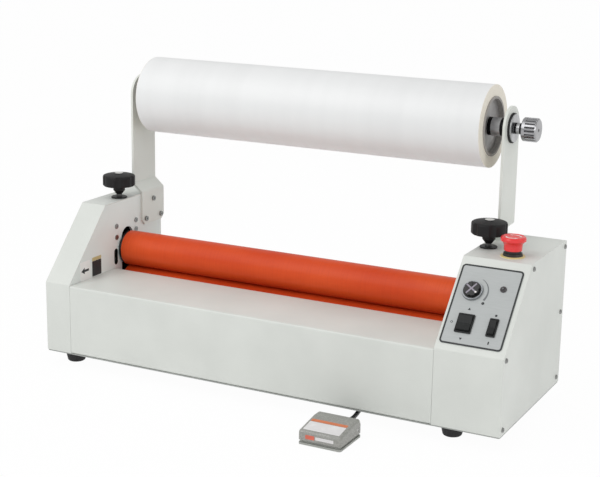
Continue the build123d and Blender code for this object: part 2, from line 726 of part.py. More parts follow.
def pressure_knob(x):
    """Lobed knob, its neck and the screw that presses on the bearing block."""
    tip = UPPER_Z + BLOCK_HEIGHT / 2
    neck_low = TOP + KNOB_RISE
    cap_low = neck_low + KNOB_NECK[1]
    cap_edge = cap_low + KNOB_SIDE
    with BuildPart() as knob:
        with BuildSketch(upright(x, ROLLER_Y)):
            with BuildLine():
                Line((KNOB_RADIUS - KNOB_SHOULDER, cap_edge), (KNOB_RADIUS - 0.9, cap_edge - 0.9))
                Polyline(
                    (KNOB_RADIUS - 0.9, cap_edge - 0.9),
                    (KNOB_RADIUS, cap_edge - KNOB_SHOULDER),
                    (KNOB_RADIUS, cap_low + 2),
                    (KNOB_RADIUS - 2, cap_low),
                    (KNOB_NECK[0], cap_low),
                    (KNOB_NECK[0], neck_low + 4),
                    (KNOB_NECK[0] - 3, neck_low),
                    (SCREW_RADIUS, neck_low - 3),
                    (SCREW_RADIUS, tip + 0.3),
                    (SCREW_TIP[0], tip + 0.3),
                    (SCREW_TIP[0], tip - SCREW_TIP[1]),
                    (0, tip - SCREW_TIP[1]),
                    (0, cap_edge + KNOB_DOME),
                )
                ThreePointArc(*dome(KNOB_RADIUS - KNOB_SHOULDER, cap_edge, KNOB_DOME))
            make_face()
        revolve(axis=Axis((x, ROLLER_Y, 0), (0, 0, 1)))
        with BuildSketch(Plane(origin=(x, ROLLER_Y, cap_low - 1))):
            with PolarLocations(KNOB_RADIUS + FLUTE_RADIUS - FLUTE_DEPTH, KNOB_LOBES):
                Circle(FLUTE_RADIUS)
        extrude(amount=KNOB_SIDE + KNOB_DOME, mode=Mode.SUBTRACT)
        with BuildSketch(Plane(origin=(x, ROLLER_Y, cap_edge + KNOB_DOME + 0.6))):
            Circle(KNOB_CAP_RADIUS)
        extrude(amount=-2.5)
    return knob.part


save(pressure_knob(PRESS_L), "pressure_knob_left")
save(pressure_knob(PRESS_R), "pressure_knob_right")

with BuildPart() as knob_washers:
    with BuildSketch(Plane.XY.offset(TOP)):
        with Locations((PRESS_L, ROLLER_Y), (PRESS_R, ROLLER_Y)):
            Circle(WASHER[0])
            Circle(SCREW_RADIUS + 0.5, mode=Mode.SUBTRACT)
    extrude(amount=WASHER[1])
    chamfer(knob_washers.faces().sort_by(Axis.Z)[-2:].edges().sort_by(SortBy.RADIUS)[-2:], length=0.6)
save(knob_washers.part, "knob_washers")


def involute(angle):
    """Involute function of an angle in radians."""
    return tan(angle) - angle


def spur_gear(teeth, centre, phase):
    """Face of a spur gear on the YZ plane: root circle and teeth whose flanks follow the involute."""
    pitch = MODULE * teeth / 2
    root = pitch - 1.25 * MODULE
    outer = pitch + MODULE
    base = pitch * cos(radians(PRESSURE_ANGLE))
    half_pitch = pi / (2 * teeth) - BACKLASH / (2 * pitch)

    def half_angle(radius):
        roll = acos(base / radius) if radius > base else 0.0
        return half_pitch + involute(radians(PRESSURE_ANGLE)) - involute(roll)

    flank = []
    for radius in (max(base, root), pitch, outer):
        flank.append((radius * cos(half_angle(radius)), radius * sin(half_angle(radius))))
    low, middle, high = flank
    foot = ((root - 0.5) * cos(half_angle(base)), (root - 0.5) * sin(half_angle(base)))
    with BuildSketch(Plane.XY, mode=Mode.PRIVATE) as tooth:
        with BuildLine():
            Line(foot, low)
            ThreePointArc(low, middle, high)
            Line(high, (high[0], -high[1]))
            ThreePointArc((high[0], -high[1]), (middle[0], -middle[1]), (low[0], -low[1]))
            Line((low[0], -low[1]), (foot[0], -foot[1]))
            Line((foot[0], -foot[1]), foot)
        make_face()
    with BuildSketch(Plane.XY, mode=Mode.PRIVATE) as gear:
        with Locations(centre):
            Circle(root)
            with PolarLocations(0, teeth, start_angle=phase):
                add(tooth.sketch)
    return gear.sketch


# Drive gear on the lower roller's right journal, and the motor's pinion in mesh with it
CENTRE_DISTANCE = MODULE * (GEAR_TEETH + PINION_TEETH) / 2
PINION_Y = ROLLER_Y - CENTRE_DISTANCE * cos(radians(MESH_ANGLE))
PINION_Z = LOWER_Z - CENTRE_DISTANCE * sin(radians(MESH_ANGLE))

with BuildPart() as drive_gear:
    with BuildSketch(across(WALL_R + GEAR_IN)):
        add(spur_gear(GEAR_TEETH, (ROLLER_Y, LOWER_Z), 180 + MESH_ANGLE))
        with Locations((ROLLER_Y, LOWER_Z)):
            Circle(JOURNAL_RADIUS - RUNNING, mode=Mode.SUBTRACT)
            with PolarLocations(22, 5):
                Circle(5, mode=Mode.SUBTRACT)
    extrude(amount=GEAR_FACE)
save(drive_gear.part, "drive_gear")

with BuildPart() as motor_pinion:
    with BuildSketch(across(WALL_R + GEAR_IN)):
        add(spur_gear(PINION_TEETH, (PINION_Y, PINION_Z), MESH_ANGLE + 180 / PINION_TEETH))
    extrude(amount=GEAR_FACE)
    with BuildSketch(across(WALL_R + GEAR_IN + GEAR_FACE)):
        with Locations((PINION_Y, PINION_Z)):
            Circle(PINION_SHAFT)
    extrude(amount=GEARBOX_IN - GEAR_IN - GEAR_FACE + 14)
save(motor_pinion.part, "motor_pinion")

# Gear motor: gearbox standing on the base plate, with the motor running forwards from it
GEARBOX_START = WALL_R + GEARBOX_IN
GEARBOX_TOP = PINION_Z + GEARBOX_SIZE[2]
with BuildPart() as gear_motor:
    with BuildSketch(across(GEARBOX_START)):
        with Locations((PINION_Y, (COVER_LOW + GEARBOX_TOP) / 2)):
            RectangleRounded(GEARBOX_SIZE[1], GEARBOX_TOP - COVER_LOW, 5)
    extrude(amount=GEARBOX_SIZE[0])
    with BuildSketch(across(GEARBOX_START)):
        with Locations((PINION_Y, PINION_Z)):
            Circle(PINION_SHAFT + RUNNING)
    extrude(amount=15, mode=Mode.SUBTRACT)
    motor_face = PINION_Y - GEARBOX_SIZE[1] / 2
    motor_x = GEARBOX_START + GEARBOX_SIZE[0] / 2
    with BuildSketch(Plane.XZ.offset(-motor_face)):
        with Locations((motor_x, PINION_Z - 12)):
            Circle(MOTOR_RADIUS)
    extrude(amount=MOTOR_LENGTH)
    with BuildSketch(Plane.XZ.offset(MOTOR_LENGTH - motor_face)):
        with Locations((motor_x, PINION_Z - 12)):
            Circle(MOTOR_RADIUS - 8)
    extrude(amount=5)
save(gear_motor.part, "gear_motor")

# Circuit board on two angle legs that stand on the base plate
BOARD_X = WALL_R + BOARD_IN
BOARD_Y = BACK - BOARD_BACK
BOARD_Z = COVER_LOW + BOARD_UP
LEGS_Y = (BOARD_Y - LEG_SPACING / 2, BOARD_Y + LEG_SPACING / 2)
with BuildPart() as circuit_board:
    with BuildSketch(across(BOARD_X)):
        with Locations((BOARD_Y, BOARD_Z)):
            Rectangle(BOARD_SIZE[0], BOARD_SIZE[1])
    extrude(amount=BOARD_SIZE[2])
    for place, block in ((TRANSFORMER_AT, TRANSFORMER), (RELAY_AT, RELAY)):
        with BuildSketch(across(BOARD_X + BOARD_SIZE[2])):
            with Locations((BOARD_Y + place[0], BOARD_Z + place[1])):
                Rectangle(block[0], block[1])
        extrude(amount=block[2])
    with BuildSketch(across(BOARD_X + BOARD_SIZE[2])):
        with Locations(*[(BOARD_Y + back, BOARD_Z + up) for back, up in CAPACITORS_AT]):
            Circle(CAPACITOR[0])
    extrude(amount=CAPACITOR[1])
    with BuildSketch(Plane.XY.offset(COVER_LOW)):
        with Locations(*[(BOARD_X - BOARD_LEG[0] / 2, leg_y) for leg_y in LEGS_Y]):
            Rectangle(BOARD_LEG[0], BOARD_LEG[1])
    extrude(amount=BOARD_LEG[2])
    with BuildSketch(Plane.XY.offset(COVER_LOW)):
        with Locations(*[(BOARD_X - BOARD_LEG[2] / 2, leg_y) for leg_y in LEGS_Y]):
            Rectangle(BOARD_LEG[2], BOARD_LEG[1])
    extrude(amount=LEG_HEIGHT)
save(circuit_board.part, "circuit_board")


# Supply arms: flat bars screwed to the walls' inner faces, joggled outwards above the housing
ARM_TOP = SUPPLY_Z + ARM_WIDTH / 2
with BuildPart() as supply_arm_left:
    with BuildSketch(Plane.XZ.offset(-SUPPLY_Y)):
        with BuildLine():
            FilletPolyline(
                (WALL_L, TOP - ARM_FOOT),
                (WALL_L, TOP + ARM_JOG_START),
                (WALL_L - ARM_JOG, TOP + ARM_JOG_START + ARM_JOG_RISE),
                (WALL_L - ARM_JOG, ARM_TOP),
                radius=2,
            )
            offset(amount=ARM_THICKNESS, side=Side.RIGHT)
        make_face()
    extrude(amount=ARM_WIDTH / 2, both=True)
    with BuildSketch(across(WALL_L - ARM_JOG - 1)):
        with BuildLine():
            foot_low = TOP - ARM_FOOT
            Line((SUPPLY_Y + ARM_WIDTH / 2, SUPPLY_Z), (SUPPLY_Y + ARM_WIDTH / 2, foot_low + 8))
            Line((SUPPLY_Y + ARM_WIDTH / 2, foot_low + 8), (SUPPLY_Y + ARM_WIDTH / 2 - 8, foot_low))
            Line((SUPPLY_Y + ARM_WIDTH / 2 - 8, foot_low), (SUPPLY_Y - ARM_WIDTH / 2 + 8, foot_low))
            Line((SUPPLY_Y - ARM_WIDTH / 2 + 8, foot_low), (SUPPLY_Y - ARM_WIDTH / 2, foot_low + 8))
            Line((SUPPLY_Y - ARM_WIDTH / 2, foot_low + 8), (SUPPLY_Y - ARM_WIDTH / 2, SUPPLY_Z))
            ThreePointArc(
                (SUPPLY_Y - ARM_WIDTH / 2, SUPPLY_Z),
                (SUPPLY_Y, ARM_TOP),
                (SUPPLY_Y + ARM_WIDTH / 2, SUPPLY_Z),
            )
        make_face()
        with Locations((SUPPLY_Y, SUPPLY_Z)):
            Circle(BUSH_RADIUS, mode=Mode.SUBTRACT)
        with Locations(*ARM_SCREWS):
            Circle(SCREW_SHANK[0] + SCREW_PLAY, mode=Mode.SUBTRACT)
    extrude(amount=ARM_JOG + ARM_THICKNESS + 2, mode=Mode.INTERSECT)
save(supply_arm_left.part, "supply_arm_left")

with BuildPart() as supply_arm_right:
    mirror(supply_arm_left.part, about=Plane.YZ.offset(MIDDLE))
save(supply_arm_right.part, "supply_arm_right")

# Where the arms' inner and outer faces lie at the supply shaft
ARM_INNER_R = WALL_R + ARM_JOG - ARM_THICKNESS
ARM_OUTER_R = WALL_R + ARM_JOG
ARM_INNER_L = WALL_L - ARM_JOG + ARM_THICKNESS
ARM_OUTER_L = WALL_L - ARM_JOG

# Nylon bushings in the arms, with a thin flange on the inner face
with BuildPart() as arm_bushings:
    for outer, inner, inward in ((ARM_OUTER_L, ARM_INNER_L, 1), (ARM_OUTER_R, ARM_INNER_R, -1)):
        with BuildSketch(Plane(origin=(outer, SUPPLY_Y, SUPPLY_Z), x_dir=(0, 1, 0), z_dir=(inward, 0, 0))):
            Circle(BUSH_RADIUS)
        extrude(amount=ARM_THICKNESS)
        with BuildSketch(Plane(origin=(inner, SUPPLY_Y, SUPPLY_Z), x_dir=(0, 1, 0), z_dir=(inward, 0, 0))):
            Circle(BUSH_RADIUS + 4)
        extrude(amount=1.5)
    with BuildSketch(across(ARM_OUTER_L - 1)):
        with Locations((SUPPLY_Y, SUPPLY_Z)):
            Circle(SUPPLY_SHAFT + 0.05)
    extrude(amount=ARM_OUTER_R - ARM_OUTER_L + 2, mode=Mode.SUBTRACT)
save(arm_bushings.part, "arm_bushings")

# Supply shaft: turned bar with a collar outside the left arm, a brake plate and sleeve outside the right
PAD_END = ARM_OUTER_R + PAD[1]
PLATE_START = PAD_END + 0.3
PLATE_END = PLATE_START + BRAKE_PLATE[1]
SLEEVE_END = PLATE_END + BRAKE_SLEEVE[1]
KNOB_START = SLEEVE_END + 0.3
KNOB_END = KNOB_START + TENSION_KNOB[1]
STUD_RADIUS = 5.0
with BuildPart() as supply_shaft:
    with BuildSketch(turning(SUPPLY_Y, SUPPLY_Z)):
        with BuildLine():
            Polyline(
                (ARM_OUTER_L - 9, 0),
                (ARM_OUTER_L - 9, 15),
                (ARM_OUTER_L - 0.3, 15),
                (ARM_OUTER_L - 0.3, SUPPLY_SHAFT),
                (PLATE_START, SUPPLY_SHAFT),
                (PLATE_START, BRAKE_PLATE[0]),
                (PLATE_END, BRAKE_PLATE[0]),
                (PLATE_END, BRAKE_SLEEVE[0]),
                (SLEEVE_END, BRAKE_SLEEVE[0]),
                (SLEEVE_END, STUD_RADIUS),
                (KNOB_END - 4, STUD_RADIUS),
                (KNOB_END - 4, 0),
                close=True,
            )
        make_face()
    revolve(axis=along_x(SUPPLY_Y, SUPPLY_Z))
save(supply_shaft.part, "supply_shaft")

# Brake pad bonded to the right arm's outer face
with BuildPart() as brake_pad:
    with BuildSketch(across(ARM_OUTER_R)):
        with Locations((SUPPLY_Y, SUPPLY_Z)):
            Circle(PAD[0])
            Circle(SUPPLY_SHAFT + 1, mode=Mode.SUBTRACT)
    extrude(amount=PAD[1])
save(brake_pad.part, "brake_pad")

# Knurled tension knob: plain rim, grooved grip, chamfered face, threaded on the shaft's stud
with BuildPart() as tension_knob:
    with BuildSketch(across(KNOB_START)):
        with Locations((SUPPLY_Y, SUPPLY_Z)):
            Circle(TENSION_KNOB[0])
    extrude(amount=TENSION_KNOB[1])
    chamfer(tension_knob.edges().filter_by(GeomType.CIRCLE).sort_by(Axis.X)[-1], length=2)
    chamfer(tension_knob.edges().filter_by(GeomType.CIRCLE).sort_by(Axis.X)[0], length=1)
    with BuildSketch(across(KNOB_START + TENSION_PLAIN)):
        with Locations((SUPPLY_Y, SUPPLY_Z)):
            with PolarLocations(TENSION_KNOB[0] + 0.4, TENSION_GROOVES):
                Circle(1.5)
    extrude(amount=TENSION_KNOB[1], mode=Mode.SUBTRACT)
    with BuildSketch(across(KNOB_START)):
        with Locations((SUPPLY_Y, SUPPLY_Z)):
            Circle(STUD_RADIUS + SLIDING / 2)
    extrude(amount=TENSION_KNOB[1] - 3.7, mode=Mode.SUBTRACT)
    with BuildSketch(across(KNOB_END)):
        with Locations((SUPPLY_Y, SUPPLY_Z)):
            Circle(2.5)
    extrude(amount=-2, mode=Mode.SUBTRACT)
save(tension_knob.part, "tension_knob")

# Core chucks: a plug pressed into each end of the core, dished inside, its hub out to the arm's bushing
CORE_END = FILM_LENGTH / 2 + CORE_PROUD
CHUCK_FACE = MIDDLE + CORE_END - CHUCK_INSET
with BuildPart() as core_chucks:
    with BuildSketch(turning(SUPPLY_Y, SUPPLY_Z)):
        with BuildLine():
            Polyline(
                (CHUCK_FACE - CHUCK_RIM, SUPPLY_SHAFT),
                (CHUCK_FACE - CHUCK_RIM, CORE_BORE - CHUCK_RIM),
                (CHUCK_FACE - CHUCK_PLUG, CORE_BORE - CHUCK_RIM),
                (CHUCK_FACE - CHUCK_PLUG, CORE_BORE - 1),
                (CHUCK_FACE - CHUCK_PLUG + 1, CORE_BORE),
                (CHUCK_FACE, CORE_BORE),
                (CHUCK_FACE, CHUCK_HUB[0]),
                (CHUCK_FACE + CHUCK_HUB[1], CHUCK_HUB[0]),
                (CHUCK_FACE + CHUCK_HUB[1], SUPPLY_SHAFT),
                close=True,
            )
        make_face()
    revolve(axis=along_x(SUPPLY_Y, SUPPLY_Z))
    mirror(about=Plane.YZ.offset(MIDDLE))
save(core_chucks.part, "core_chucks")

with BuildPart() as film_core:
    with BuildSketch(across(MIDDLE - CORE_END)):
        with Locations((SUPPLY_Y, SUPPLY_Z)):
            Circle(CORE_RADIUS)
            Circle(CORE_BORE, mode=Mode.SUBTRACT)
    extrude(amount=2 * CORE_END)
save(film_core.part, "film_core")

with BuildPart() as film_roll:
    with BuildSketch(across(MIDDLE - FILM_LENGTH / 2)):
        with Locations((SUPPLY_Y, SUPPLY_Z)):
            Circle(FILM_RADIUS)
            Circle(CORE_RADIUS, mode=Mode.SUBTRACT)
    extrude(amount=FILM_LENGTH)
save(film_roll.part, "film_roll")

# Control panel plate on the slope
with BuildPart() as control_panel:
    with BuildSketch(SLOPE):
        with Locations(PANEL_CENTRE):
            RectangleRounded(*PANEL_SIZE, PANEL_CORNER)
        with Locations(DIAL_AT):
            Circle(SPINDLE_RADIUS + 1.5, mode=Mode.SUBTRACT)
        with Locations(LAMP_AT):
            Circle(LAMP_RADIUS - 0.5, mode=Mode.SUBTRACT)
        with Locations(DIRECTION_AT):
            Rectangle(DIRECTION_BEZEL[0] - BEZEL_LIP, DIRECTION_BEZEL[1] - BEZEL_LIP, mode=Mode.SUBTRACT)
        with Locations(MODE_AT):
            Rectangle(MODE_BEZEL[0] - BEZEL_LIP, MODE_BEZEL[1] - BEZEL_LIP, mode=Mode.SUBTRACT)
    extrude(amount=PANEL_THICKNESS)
save(control_panel.part, "control_panel")


def rocker_opening(bezel):
    """Width and length of the opening that a rocker tilts in."""
    return (bezel[0] - 2 * BEZEL_RIM, bezel[1] - 2 * BEZEL_RIM)


# Bezels of the two rocker switches: rim on the panel, body behind it, opening for the rocker
with BuildPart() as switch_bezels:
    for place, bezel in ((DIRECTION_AT, DIRECTION_BEZEL), (MODE_AT, MODE_BEZEL)):
        with BuildSketch(PANEL_FACE):
            with Locations(place):
                RectangleRounded(*bezel, 1.2)
        extrude(amount=BEZEL_RIM)
        with BuildSketch(PANEL_FACE):
            with Locations(place):
                Rectangle(bezel[0] - BEZEL_LIP, bezel[1] - BEZEL_LIP)
        extrude(amount=-BEZEL_DEPTH)
        with BuildSketch(PANEL_FACE.offset(BEZEL_RIM)):
            with Locations(place):
                Rectangle(*rocker_opening(bezel))
        extrude(amount=-BEZEL_RIM - BEZEL_DEPTH + 2, mode=Mode.SUBTRACT)
save(switch_bezels.part, "switch_bezels")


def rocker(place, bezel):
    """Rocker: a drum segment about its pivot, its top dished to two sloping faces."""
    width, length = rocker_opening(bezel)
    drum = length / 2 - ROCKER_GAP
    pivot = PANEL_FACE.from_local_coords((*place, -ROCKER_PIVOT_DEPTH))
    section = Plane(origin=pivot, x_dir=SLOPE_UP, z_dir=(1, 0, 0))
    with BuildPart() as piece:
        with BuildSketch(section):
            Circle(drum)
            with BuildLine():
                Polyline(
                    (-drum - 1, 6.5), (0, 3.6), (drum + 1, 6.5), (drum + 1, -7), (-drum - 1, -7), close=True
                )
            make_face(mode=Mode.INTERSECT)
        extrude(amount=width / 2 - ROCKER_GAP, both=True)
    return piece.part


save(rocker(DIRECTION_AT, DIRECTION_BEZEL), "direction_rocker")
save(rocker(MODE_AT, MODE_BEZEL), "mode_rocker")

# Speed dial with its spindle, and the potentiometer that holds the spindle behind the panel
dial_plane = Plane(origin=PANEL_FACE.from_local_coords((*DIAL_AT, 0)), x_dir=(1, 0, 0), z_dir=SLOPE_OUT)
with BuildPart() as speed_dial:
    with BuildSketch(dial_plane.offset(0.5)):
        Circle(DIAL_SKIRT[0])
    extrude(amount=DIAL_SKIRT[1], taper=12)
    with BuildSketch(dial_plane.offset(0.5)):
        Circle(DIAL_GRIP[0])
        with PolarLocations(DIAL_GRIP[0] + 0.6, DIAL_FLUTES):
            Circle(1.8, mode=Mode.SUBTRACT)
    extrude(amount=DIAL_GRIP[1])
    with BuildSketch(dial_plane.offset(0.5 + DIAL_GRIP[1])):
        with Locations((0, DIAL_GRIP[0] / 2)):
            Rectangle(1.4, DIAL_GRIP[0])
    extrude(amount=-1, mode=Mode.SUBTRACT)
    with BuildSketch(dial_plane.offset(0.5)):
        Circle(SPINDLE_RADIUS)
    extrude(amount=-14)
save(speed_dial.part, "speed_dial")

with BuildPart() as speed_potentiometer:
    with BuildSketch(SLOPE.offset(-SHEET)):
        with Locations(DIAL_AT):
            Circle(12)
            Circle(SPINDLE_RADIUS + SLIDING / 2, mode=Mode.SUBTRACT)
    extrude(amount=-14)
save(speed_potentiometer.part, "speed_potentiometer")

# Indicator lamp: barrel through the panel, rim and domed lens
lamp_plane = Plane(origin=PANEL_FACE.from_local_coords((*LAMP_AT, 0)), x_dir=(1, 0, 0), z_dir=(0, 0, 1))
lamp_side = Plane(origin=lamp_plane.origin, x_dir=(1, 0, 0), z_dir=SLOPE_UP * -1)
with BuildPart() as indicator_lamp:
    with BuildSketch(lamp_side):
        with BuildLine():
            Polyline(
                (0, -14),
                (LAMP_RADIUS - 0.7, -14),
                (LAMP_RADIUS - 0.7, 0),
                (LAMP_RADIUS + 0.6, 0),
                (LAMP_RADIUS + 0.6, 1.2),
                (LAMP_RADIUS - 0.8, 1.2),
            )
            ThreePointArc(*dome(LAMP_RADIUS - 0.8, 1.2, 2))
            Line((0, 3.2), (0, -14))
        make_face()
    revolve(axis=Axis(lamp_plane.origin, SLOPE_OUT))
save(indicator_lamp.part, "indicator_lamp")

# Emergency stop: the base's neck guides the head's skirt, and the plunger runs in the neck's bore
NECK_TOP = TOP + ESTOP_BASE[1] + 1.5
SKIRT_LOW = TOP + ESTOP_COLLAR + ESTOP_TRAVEL + 0.3
SKIRT_ROOF = NECK_TOP + ESTOP_TRAVEL + 0.5
HEAD_TOP = TOP + ESTOP_HEIGHT
PLUNGER_TOP = HEAD_TOP - 8
PLUNGER_LOW = NECK_TOP - ESTOP_BORE + ESTOP_TRAVEL + 0.5

with BuildPart() as estop_base:
    with BuildSketch(upright(ESTOP_X, ESTOP_Y)):
        with BuildLine():
            Polyline(
                (ESTOP_PLUNGER + SLIDING / 2, NECK_TOP),
                (ESTOP_NECK, NECK_TOP),
                (ESTOP_NECK, TOP + ESTOP_COLLAR),
                (ESTOP_BASE[0] - 0.9, TOP + ESTOP_COLLAR),
                (ESTOP_BASE[0], TOP + ESTOP_RING[1]),
                (ESTOP_RING[0], TOP + ESTOP_RING[1]),
                (ESTOP_RING[0], TOP),
                (ESTOP_HOLE - 0.15, TOP),
                (ESTOP_HOLE - 0.15, TOP - SHEET),
                (ESTOP_HOLE + 3, TOP - SHEET),
                (ESTOP_HOLE + 3, TOP - ESTOP_BODY),
                (0, TOP - ESTOP_BODY),
                (0, NECK_TOP - ESTOP_BORE),
                (ESTOP_PLUNGER + SLIDING / 2, NECK_TOP - ESTOP_BORE),
                close=True,
            )
        make_face()
    revolve(axis=Axis((ESTOP_X, ESTOP_Y, 0), (0, 0, 1)))
save(estop_base.part, "estop_base")

with BuildPart() as estop_plunger:
    with BuildSketch(Plane(origin=(ESTOP_X, ESTOP_Y, PLUNGER_LOW))):
        Circle(ESTOP_PLUNGER)
    extrude(amount=PLUNGER_TOP - PLUNGER_LOW)
save(estop_plunger.part, "estop_plunger")

with BuildPart() as estop_head:
    with BuildSketch(upright(ESTOP_X, ESTOP_Y)):
        with BuildLine():
            Polyline(
                (ESTOP_PLUNGER + SLIDING / 2, SKIRT_ROOF),
                (ESTOP_NECK + 0.2, SKIRT_ROOF),
                (ESTOP_NECK + 0.2, SKIRT_LOW),
                (ESTOP_WAIST, SKIRT_LOW),
                (ESTOP_WAIST + 0.3, HEAD_TOP - 14),
            )
            ThreePointArc(
                (ESTOP_WAIST + 0.3, HEAD_TOP - 14),
                (ESTOP_WAIST + 2.2, HEAD_TOP - 9.5),
                (ESTOP_HEAD, HEAD_TOP - 6.5),
            )
            Polyline(
                (ESTOP_HEAD, HEAD_TOP - 6.5),
                (ESTOP_HEAD, HEAD_TOP - 3),
                (ESTOP_HEAD - 1, HEAD_TOP - 1),
                (ESTOP_HEAD - 3, HEAD_TOP),
            )
            ThreePointArc(*dome(ESTOP_HEAD - 3, HEAD_TOP, -2))
            Polyline(
                (0, HEAD_TOP - 2),
                (0, PLUNGER_TOP),
                (ESTOP_PLUNGER + SLIDING / 2, PLUNGER_TOP),
                (ESTOP_PLUNGER + SLIDING / 2, SKIRT_ROOF),
            )
        make_face()
    revolve(axis=Axis((ESTOP_X, ESTOP_Y, 0), (0, 0, 1)))
save(estop_head.part, "estop_head")

# Power inlet and footswitch socket in the right cover's back
inlet_x = WALL_R + INLET_AT[0]
inlet_z = FOOT_HEIGHT + INLET_AT[1]
with BuildPart() as power_inlet:
    rear_out = Plane(origin=(inlet_x, BACK, inlet_z), x_dir=(-1, 0, 0), z_dir=(0, 1, 0))
    with BuildSketch(rear_out):
        RectangleRounded(*INLET_FLANGE, 4)
    extrude(amount=SOCKET_PROUD - 0.5)
    with BuildSketch(rear_out):
        Rectangle(INLET_BODY[0] - 0.2, INLET_BODY[1] - 0.2)
    extrude(amount=-24)
    with BuildSketch(rear_out.offset(SOCKET_PROUD - 0.5)):
        Rectangle(INLET_CAVITY[0], INLET_CAVITY[1])
    extrude(amount=-INLET_CAVITY[2], mode=Mode.SUBTRACT)
    with BuildSketch(rear_out.offset(SOCKET_PROUD - 0.5 - INLET_CAVITY[2])):
        with Locations((-7, 1.5), (0, -2), (7, 1.5)):
            Rectangle(2, 4)
    extrude(amount=INLET_CAVITY[2] - 5)
save(power_inlet.part, "power_inlet")

socket_x = WALL_R + SOCKET_AT[0]
socket_z = FOOT_HEIGHT + SOCKET_AT[1]
with BuildPart() as footswitch_socket:
    socket_out = Plane(origin=(socket_x, BACK, socket_z), x_dir=(-1, 0, 0), z_dir=(0, 1, 0))
    with BuildSketch(socket_out):
        Circle(SOCKET_FLANGE)
    extrude(amount=SOCKET_PROUD)
    with BuildSketch(socket_out):
        Circle(SOCKET_BARREL - 0.1)
    extrude(amount=-14)
    with BuildSketch(socket_out.offset(SOCKET_PROUD)):
        Circle(SOCKET_CAVITY[0])
    extrude(amount=-SOCKET_CAVITY[1], mode=Mode.SUBTRACT)
    with BuildSketch(socket_out.offset(SOCKET_PROUD - SOCKET_CAVITY[1])):
        with PolarLocations(4.5, 4):
            Circle(0.8)
    extrude(amount=SOCKET_CAVITY[1] - 5)
save(footswitch_socket.part, "footswitch_socket")

# Foot pedal: base with a hinge lug, snap switch on it, and a treadle shell hinged at the back
PEDAL_X = WALL_R - PEDAL_INSET
PEDAL_BACK = FRONT - PEDAL_GAP
PEDAL_FRONT = PEDAL_BACK - PEDAL_SIZE[1]
PEDAL_LEFT = PEDAL_X - PEDAL_SIZE[0] / 2
PIN_Y = PEDAL_BACK - PEDAL_HINGE[0]
PIN_Z = PEDAL_HINGE[1]
INSIDE = PEDAL_WALL + PEDAL_CLEAR
RELIEF_Y = PEDAL_BACK - INSIDE

with BuildPart() as pedal_base:
    with BuildSketch(across(PEDAL_LEFT + INSIDE)):
        with BuildLine():
            Polyline(
                (PEDAL_FRONT + INSIDE, PEDAL_SOLE),
                (RELIEF_Y, PEDAL_SOLE),
                (RELIEF_Y, PIN_Z + 5),
                (PIN_Y - 6, PIN_Z + 5),
                (PIN_Y - 11, PEDAL_BASE_HEIGHT),
                (PEDAL_FRONT + INSIDE, PEDAL_BASE_HEIGHT),
                close=True,
            )
        make_face()
    extrude(amount=PEDAL_SIZE[0] - 2 * INSIDE)
    with BuildSketch(Plane.XY):
        with Locations((PEDAL_X, (PEDAL_FRONT + PEDAL_BACK) / 2)):
            RectangleRounded(PEDAL_SIZE[0], PEDAL_SIZE[1], PEDAL_CORNER)
    extrude(amount=PEDAL_SOLE)
    with BuildSketch(across(PEDAL_LEFT)):
        with Locations((PIN_Y, PIN_Z)):
            Circle(PEDAL_PIN)
    extrude(amount=PEDAL_SIZE[0], mode=Mode.SUBTRACT)
save(pedal_base.part, "pedal_base")

with BuildPart() as pedal_pin:
    with BuildSketch(across(PEDAL_LEFT + 0.4)):
        with Locations((PIN_Y, PIN_Z)):
            Circle(PEDAL_PIN)
    extrude(amount=PEDAL_SIZE[0] - 0.8)
save(pedal_pin.part, "pedal_pin")

# Snap switch: its button waits a little below the treadle's underside
SWITCH_Y = PEDAL_FRONT + 32
with BuildPart() as pedal_switch:
    with BuildSketch(Plane.XY.offset(PEDAL_BASE_HEIGHT)):
        with Locations((PEDAL_X, SWITCH_Y)):
            Rectangle(28, 10)
    extrude(amount=8)
    with BuildSketch(Plane.XY.offset(PEDAL_BASE_HEIGHT + 8)):
        with Locations((PEDAL_X - 6, SWITCH_Y)):
            Circle(2)
    extrude(amount=2.5)
save(pedal_switch.part, "pedal_switch")


def treadle_side(inset, low):
    """Side view of the treadle: upright front, sloping top, rounded back."""
    with BuildSketch(Plane.XY, mode=Mode.PRIVATE) as side:
        with BuildLine():
            Polyline(
                (PEDAL_FRONT + inset, low),
                (PEDAL_FRONT + inset, PEDAL_FRONT_HEIGHT - inset),
                (PEDAL_FRONT + TREADLE_RISE, PEDAL_SIZE[2] - inset),
                (PEDAL_BACK - TREADLE_NOSE, PEDAL_SIZE[2] - inset),
                (PEDAL_BACK - inset, PEDAL_FRONT_HEIGHT - inset),
                (PEDAL_BACK - inset, low),
                close=True,
            )
        make_face()
        fillet(side.vertices().sort_by(Axis.Y)[2:], radius=TREADLE_BEND - inset)
    return side.sketch


with BuildPart() as pedal_treadle:
    with BuildSketch(across(PEDAL_LEFT)):
        add(treadle_side(0, TREADLE_LOW))
    extrude(amount=PEDAL_SIZE[0])
    fillet(pedal_treadle.edges().filter_by(Axis.Z), radius=PEDAL_CORNER)
    with BuildSketch(across(PEDAL_LEFT + PEDAL_WALL)):
        add(treadle_side(PEDAL_WALL, TREADLE_LOW - 1))
    extrude(amount=PEDAL_SIZE[0] - 2 * PEDAL_WALL, mode=Mode.SUBTRACT)
    with BuildSketch(across(PEDAL_LEFT)):
        with Locations((PIN_Y, PIN_Z)):
            Circle(PEDAL_PIN + RUNNING)
    extrude(amount=PEDAL_SIZE[0], mode=Mode.SUBTRACT)
    with BuildSketch(Plane.XZ.offset(-PEDAL_BACK)):
        with Locations((PEDAL_X, RELIEF_Z)):
            Circle(RELIEF_RADII[0] + 2)
        with Locations((PEDAL_X, RELIEF_Z - 5)):
            Rectangle(2 * RELIEF_RADII[0] + 4, 10)
    extrude(amount=PEDAL_WALL, mode=Mode.SUBTRACT)
